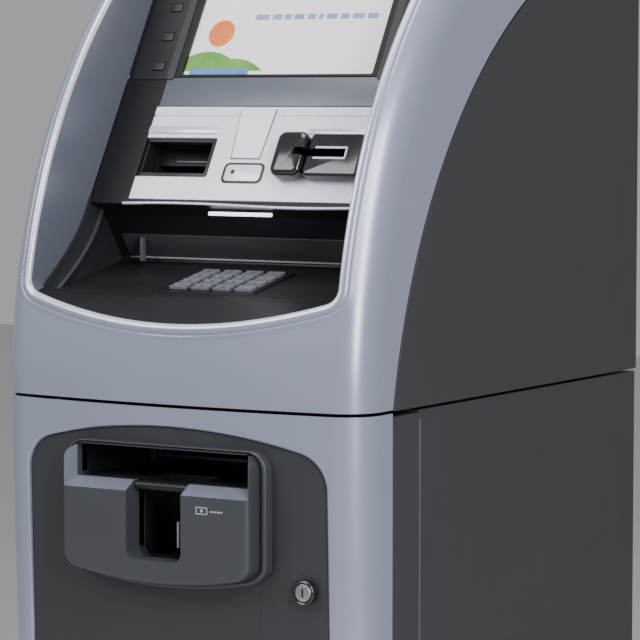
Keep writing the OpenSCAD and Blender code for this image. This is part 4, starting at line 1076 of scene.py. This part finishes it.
def wing_back(t):
    high, low, near = Vector((CEILING[0] + 6, CEILING[1] + 2)), Vector((SHELF_REAR[0] + 5,
        SHELF_REAR[1] - 3)), Vector((FRONT + 88, LIP + 12))
    return high.lerp(low, t / 0.4) if t < 0.4 else low.lerp(near, (t - 0.4) / 0.6)


WING_STEPS = [(0, 0.4), (2, 0.9), (5, 1.3), (21, 1.5), (22.6, 2.6), (24.6, 3.2), (26.6, 2.4), (29, 1.2)]


def wing_rule(side):
    def rule(i, j):
        t = i / 48
        edge, back = wing_edge(t), wing_back(t)
        reach = (back - edge).length
        if j < len(WING_STEPS):
            step, proud = WING_STEPS[j]
            place = edge.lerp(back, min(1.0, step / reach))
        else:
            proud = 1.2
            place = edge.lerp(back, min(1.0, 29 / reach)).lerp(back, (j - len(WING_STEPS) + 1) / 4)
        return side * (TRAY_HALF - 0.2 - proud), place.x, place.y
    return rule


for side, word in ((-1, "left"), (1, "right")):
    wing = bent_sheet(48, len(WING_STEPS) + 3, wing_rule(side), finish_of=lambda j: 1 if j in (3, 4) else 0)
    wing = facing(wing, (side * 400, -200, 980))
    piece("wing_" + word, wing, wing_resin, "hood", (), "recess_black", angle=50, extra=(painted_light_resin,))

# %% [markdown]
# ## PIN pad
# The pad is a block with a well for each key. A key is a cap with a hollow top
# for the finger. One cap is made, and sixteen copies of it are placed, each with
# its generic sign, riding on its own body.

# %% PIN pad and keys
pad = block(-54, 54, -8, 71.5, -14, 0, corner=4, edge=1)
PITCH_X, PITCH_S = 25, 17
wells = [block((c - 1.5) * PITCH_X - 9.9, (c - 1.5) * PITCH_X + 9.9, r * PITCH_S - 0.4, r * PITCH_S + 12.9, -6,
    3, corner=1.5, steps=3) for c in range(4) for r in range(4)]
piece("pin_pad", moved(combine(pad, wells), pad_place), panel_plastic, "hood", "pin_pad_body", "recess_black",
    bevel=0.25)


def sign_on_key(text):
    curve = bpy.data.curves.new("sign", "FONT")
    curve.body, curve.size, curve.extrude = text, 7.5, 0.15
    curve.align_x, curve.align_y = "CENTER", "CENTER"
    curve.resolution_u = 3
    holder = bpy.data.objects.new("sign", curve)
    bpy.context.scene.collection.objects.link(holder)
    bm = settled(holder)
    for face in bm.faces:
        face.material_index = 1
    return bm


scoop = bmesh.new()
bmesh.ops.create_cone(scoop, cap_ends=True, segments=96, radius1=29, radius2=29, depth=40,
    matrix=Matrix.Translation((0, 0, 31)) @ Matrix.Rotation(math.pi / 2, 4, "Y"))
cap = combine(block(-9.5, 9.5, -6.25, 6.25, -3, 3, corner=1.4, edge=0.7), [scoop])
red_ink = finish("red ink", "#8c2a26", "#a03630", 0.4, 0.5, grain=1500, bump=0.02, drift=40)
KEYS = "1 2 3 cancel 4 5 6 clear 7 8 9 enter star 0 hash blank".split()
for order, (word, sign) in enumerate(zip(KEYS, [*"123x456<789o*0#", ""])):
    name = "key_" + word
    here = Matrix.Translation(((order % 4 - 1.5) * PITCH_X, 6.25 + (3 - order // 4) * PITCH_S, 0))
    made = cap.copy()
    if sign:
        made = joined(made, moved(sign_on_key(sign), Matrix.Translation((0, 0, 2.02))))
    piece(name + "_cap", moved(made, pad_place @ here), key_resin, name + "_cap", name, "key_plastic",
        extra=(red_ink if name == "key_cancel" else dark_ink,))
cap.free()

# %% [markdown]
# ## Steel parts with long edges in view
# Folded steel never has a knife edge. These nodes keep their shape, and take a
# fine radius on a merged copy.

# %% Softened steel
softened("side_panel_left", side_coat, "cabinet", "safe_steel", 0.8)
softened("side_panel_right", side_coat, "cabinet", "safe_steel", 0.8)
softened("safe_body", steel_coat, "cabinet", "safe_steel", 0.8)
softened("door_pan", steel_coat, "decor_door", "safe_steel", 0.5)
pan_low, pan_high = box_mm("door_pan")
# A thin pale strip along the pan's rear edge on the right side: a painted highlight on that edge.
highlight_x = HALF - 1.1
hem = block(highlight_x - 0.8, highlight_x + 0.8, pan_high.y - 0.6, pan_high.y + 3.2, pan_low.z + 6, pan_high.z - 6,
    edge=0.3)
piece("pan_edge_highlight", hem, trim_grey_and_highlight, "decor_door", (), "safe_steel")
softened("rear_panel", steel_coat, "cabinet", "safe_steel", 0.5)
softened("safe_door", bare_steel, "vault_door", "inner_steel", 0.6)
softened("safe_dial", gloss_plastic, "dial", "recess_black", 0.6)
softened("safe_handle", zinc_plate, "handle", "zinc", 0.8)
softened("cash_cassette", bare_steel, "cassette", "inner_steel", 0.8)
softened("mainboard_box", zinc_plate, "cabinet", "zinc", 0.6)
softened("power_supply", bare_steel, "cabinet", "inner_steel", 0.5)
softened("rocker_switch", gloss_plastic, "rocker", "recess_black", 0.3)

# %% [markdown]
# ## Finishes of the parts that keep their frame shape
# Boxes of steel, the cassette, the locks and the printer are already the right
# shape in the frame. Each gets the finish of what it is made of in the slot that
# it has. Those with long edges in view are copied and softened instead.

# %% Materials on the frame's own nodes
BY_SLOT = {"safe_steel": steel_coat, "inner_steel": bare_steel, "zinc": zinc_plate,
    "fascia_silver": silver_paint, "insert_grey": insert_plastic, "recess_black": recess_plastic,
    "gloss_black": gloss_plastic, "key_plastic": key_resin, "screen": screen_glow, "paper": roll_paper,
    "lamp": lamp_glow}
for node, shape in NODES.items():
    for place in shape.material_slots:
        if place.material and place.material.name.split(".")[0] in BY_SLOT:
            place.material = BY_SLOT[place.material.name.split(".")[0]]
for node in ("side_panel_left", "side_panel_right"):
    for place in NODES[node].material_slots:
        place.material = side_coat
print("finished", len(NODES), "frame nodes")

# %% [markdown]
# ## Floor and light
# A plain pale floor and soft light, as in a studio: a broad light high on the
# right draws the bright band down the round corner, a wide one on the left fills
# the cheeks, and the world is a pale grey.

# %% Floor
ground = bmesh.new()
bmesh.ops.create_grid(ground, x_segments=1, y_segments=1, size=9)
floor = to_object(ground, "floor")
floor.data.materials.append(finish("studio floor", "#c9c9c8", "#d3d3d2", 0.6, 0.75, grain=300, bump=0.02,
    drift=1))
print("floor laid")

# %% Lights
def soft_light(name, place, aim, width, height, watts, colour=(1, 1, 1)):
    data = bpy.data.lights.new(name, "AREA")
    data.shape = "RECTANGLE"
    data.size, data.size_y, data.energy, data.color = width, height, watts, colour
    lamp = bpy.data.objects.new(name, data)
    lamp.location = place
    lamp.rotation_euler = (Vector(aim) - Vector(place)).to_track_quat("-Z", "Y").to_euler()
    bpy.context.scene.collection.objects.link(lamp)


soft_light("corner light", (2.2, -1.7, 1.9), (0.1, -0.1, 0.9), 0.7, 2.2, 85, (0.98, 0.98, 1.0))
soft_light("front light", (-1.2, -2.4, 2.7), (0, 0, 1.05), 1.8, 1.4, 50, (0.97, 0.98, 1.0))
soft_light("top light", (0.0, -0.6, 3.2), (0, 0, 1.0), 1.6, 1.6, 45)
world = bpy.data.worlds.new("pale room")
bpy.context.scene.world = world
world.use_nodes = True
world.node_tree.nodes["Background"].inputs["Color"].default_value = (0.80, 0.82, 0.86, 1)
world.node_tree.nodes["Background"].inputs["Strength"].default_value = 0.48
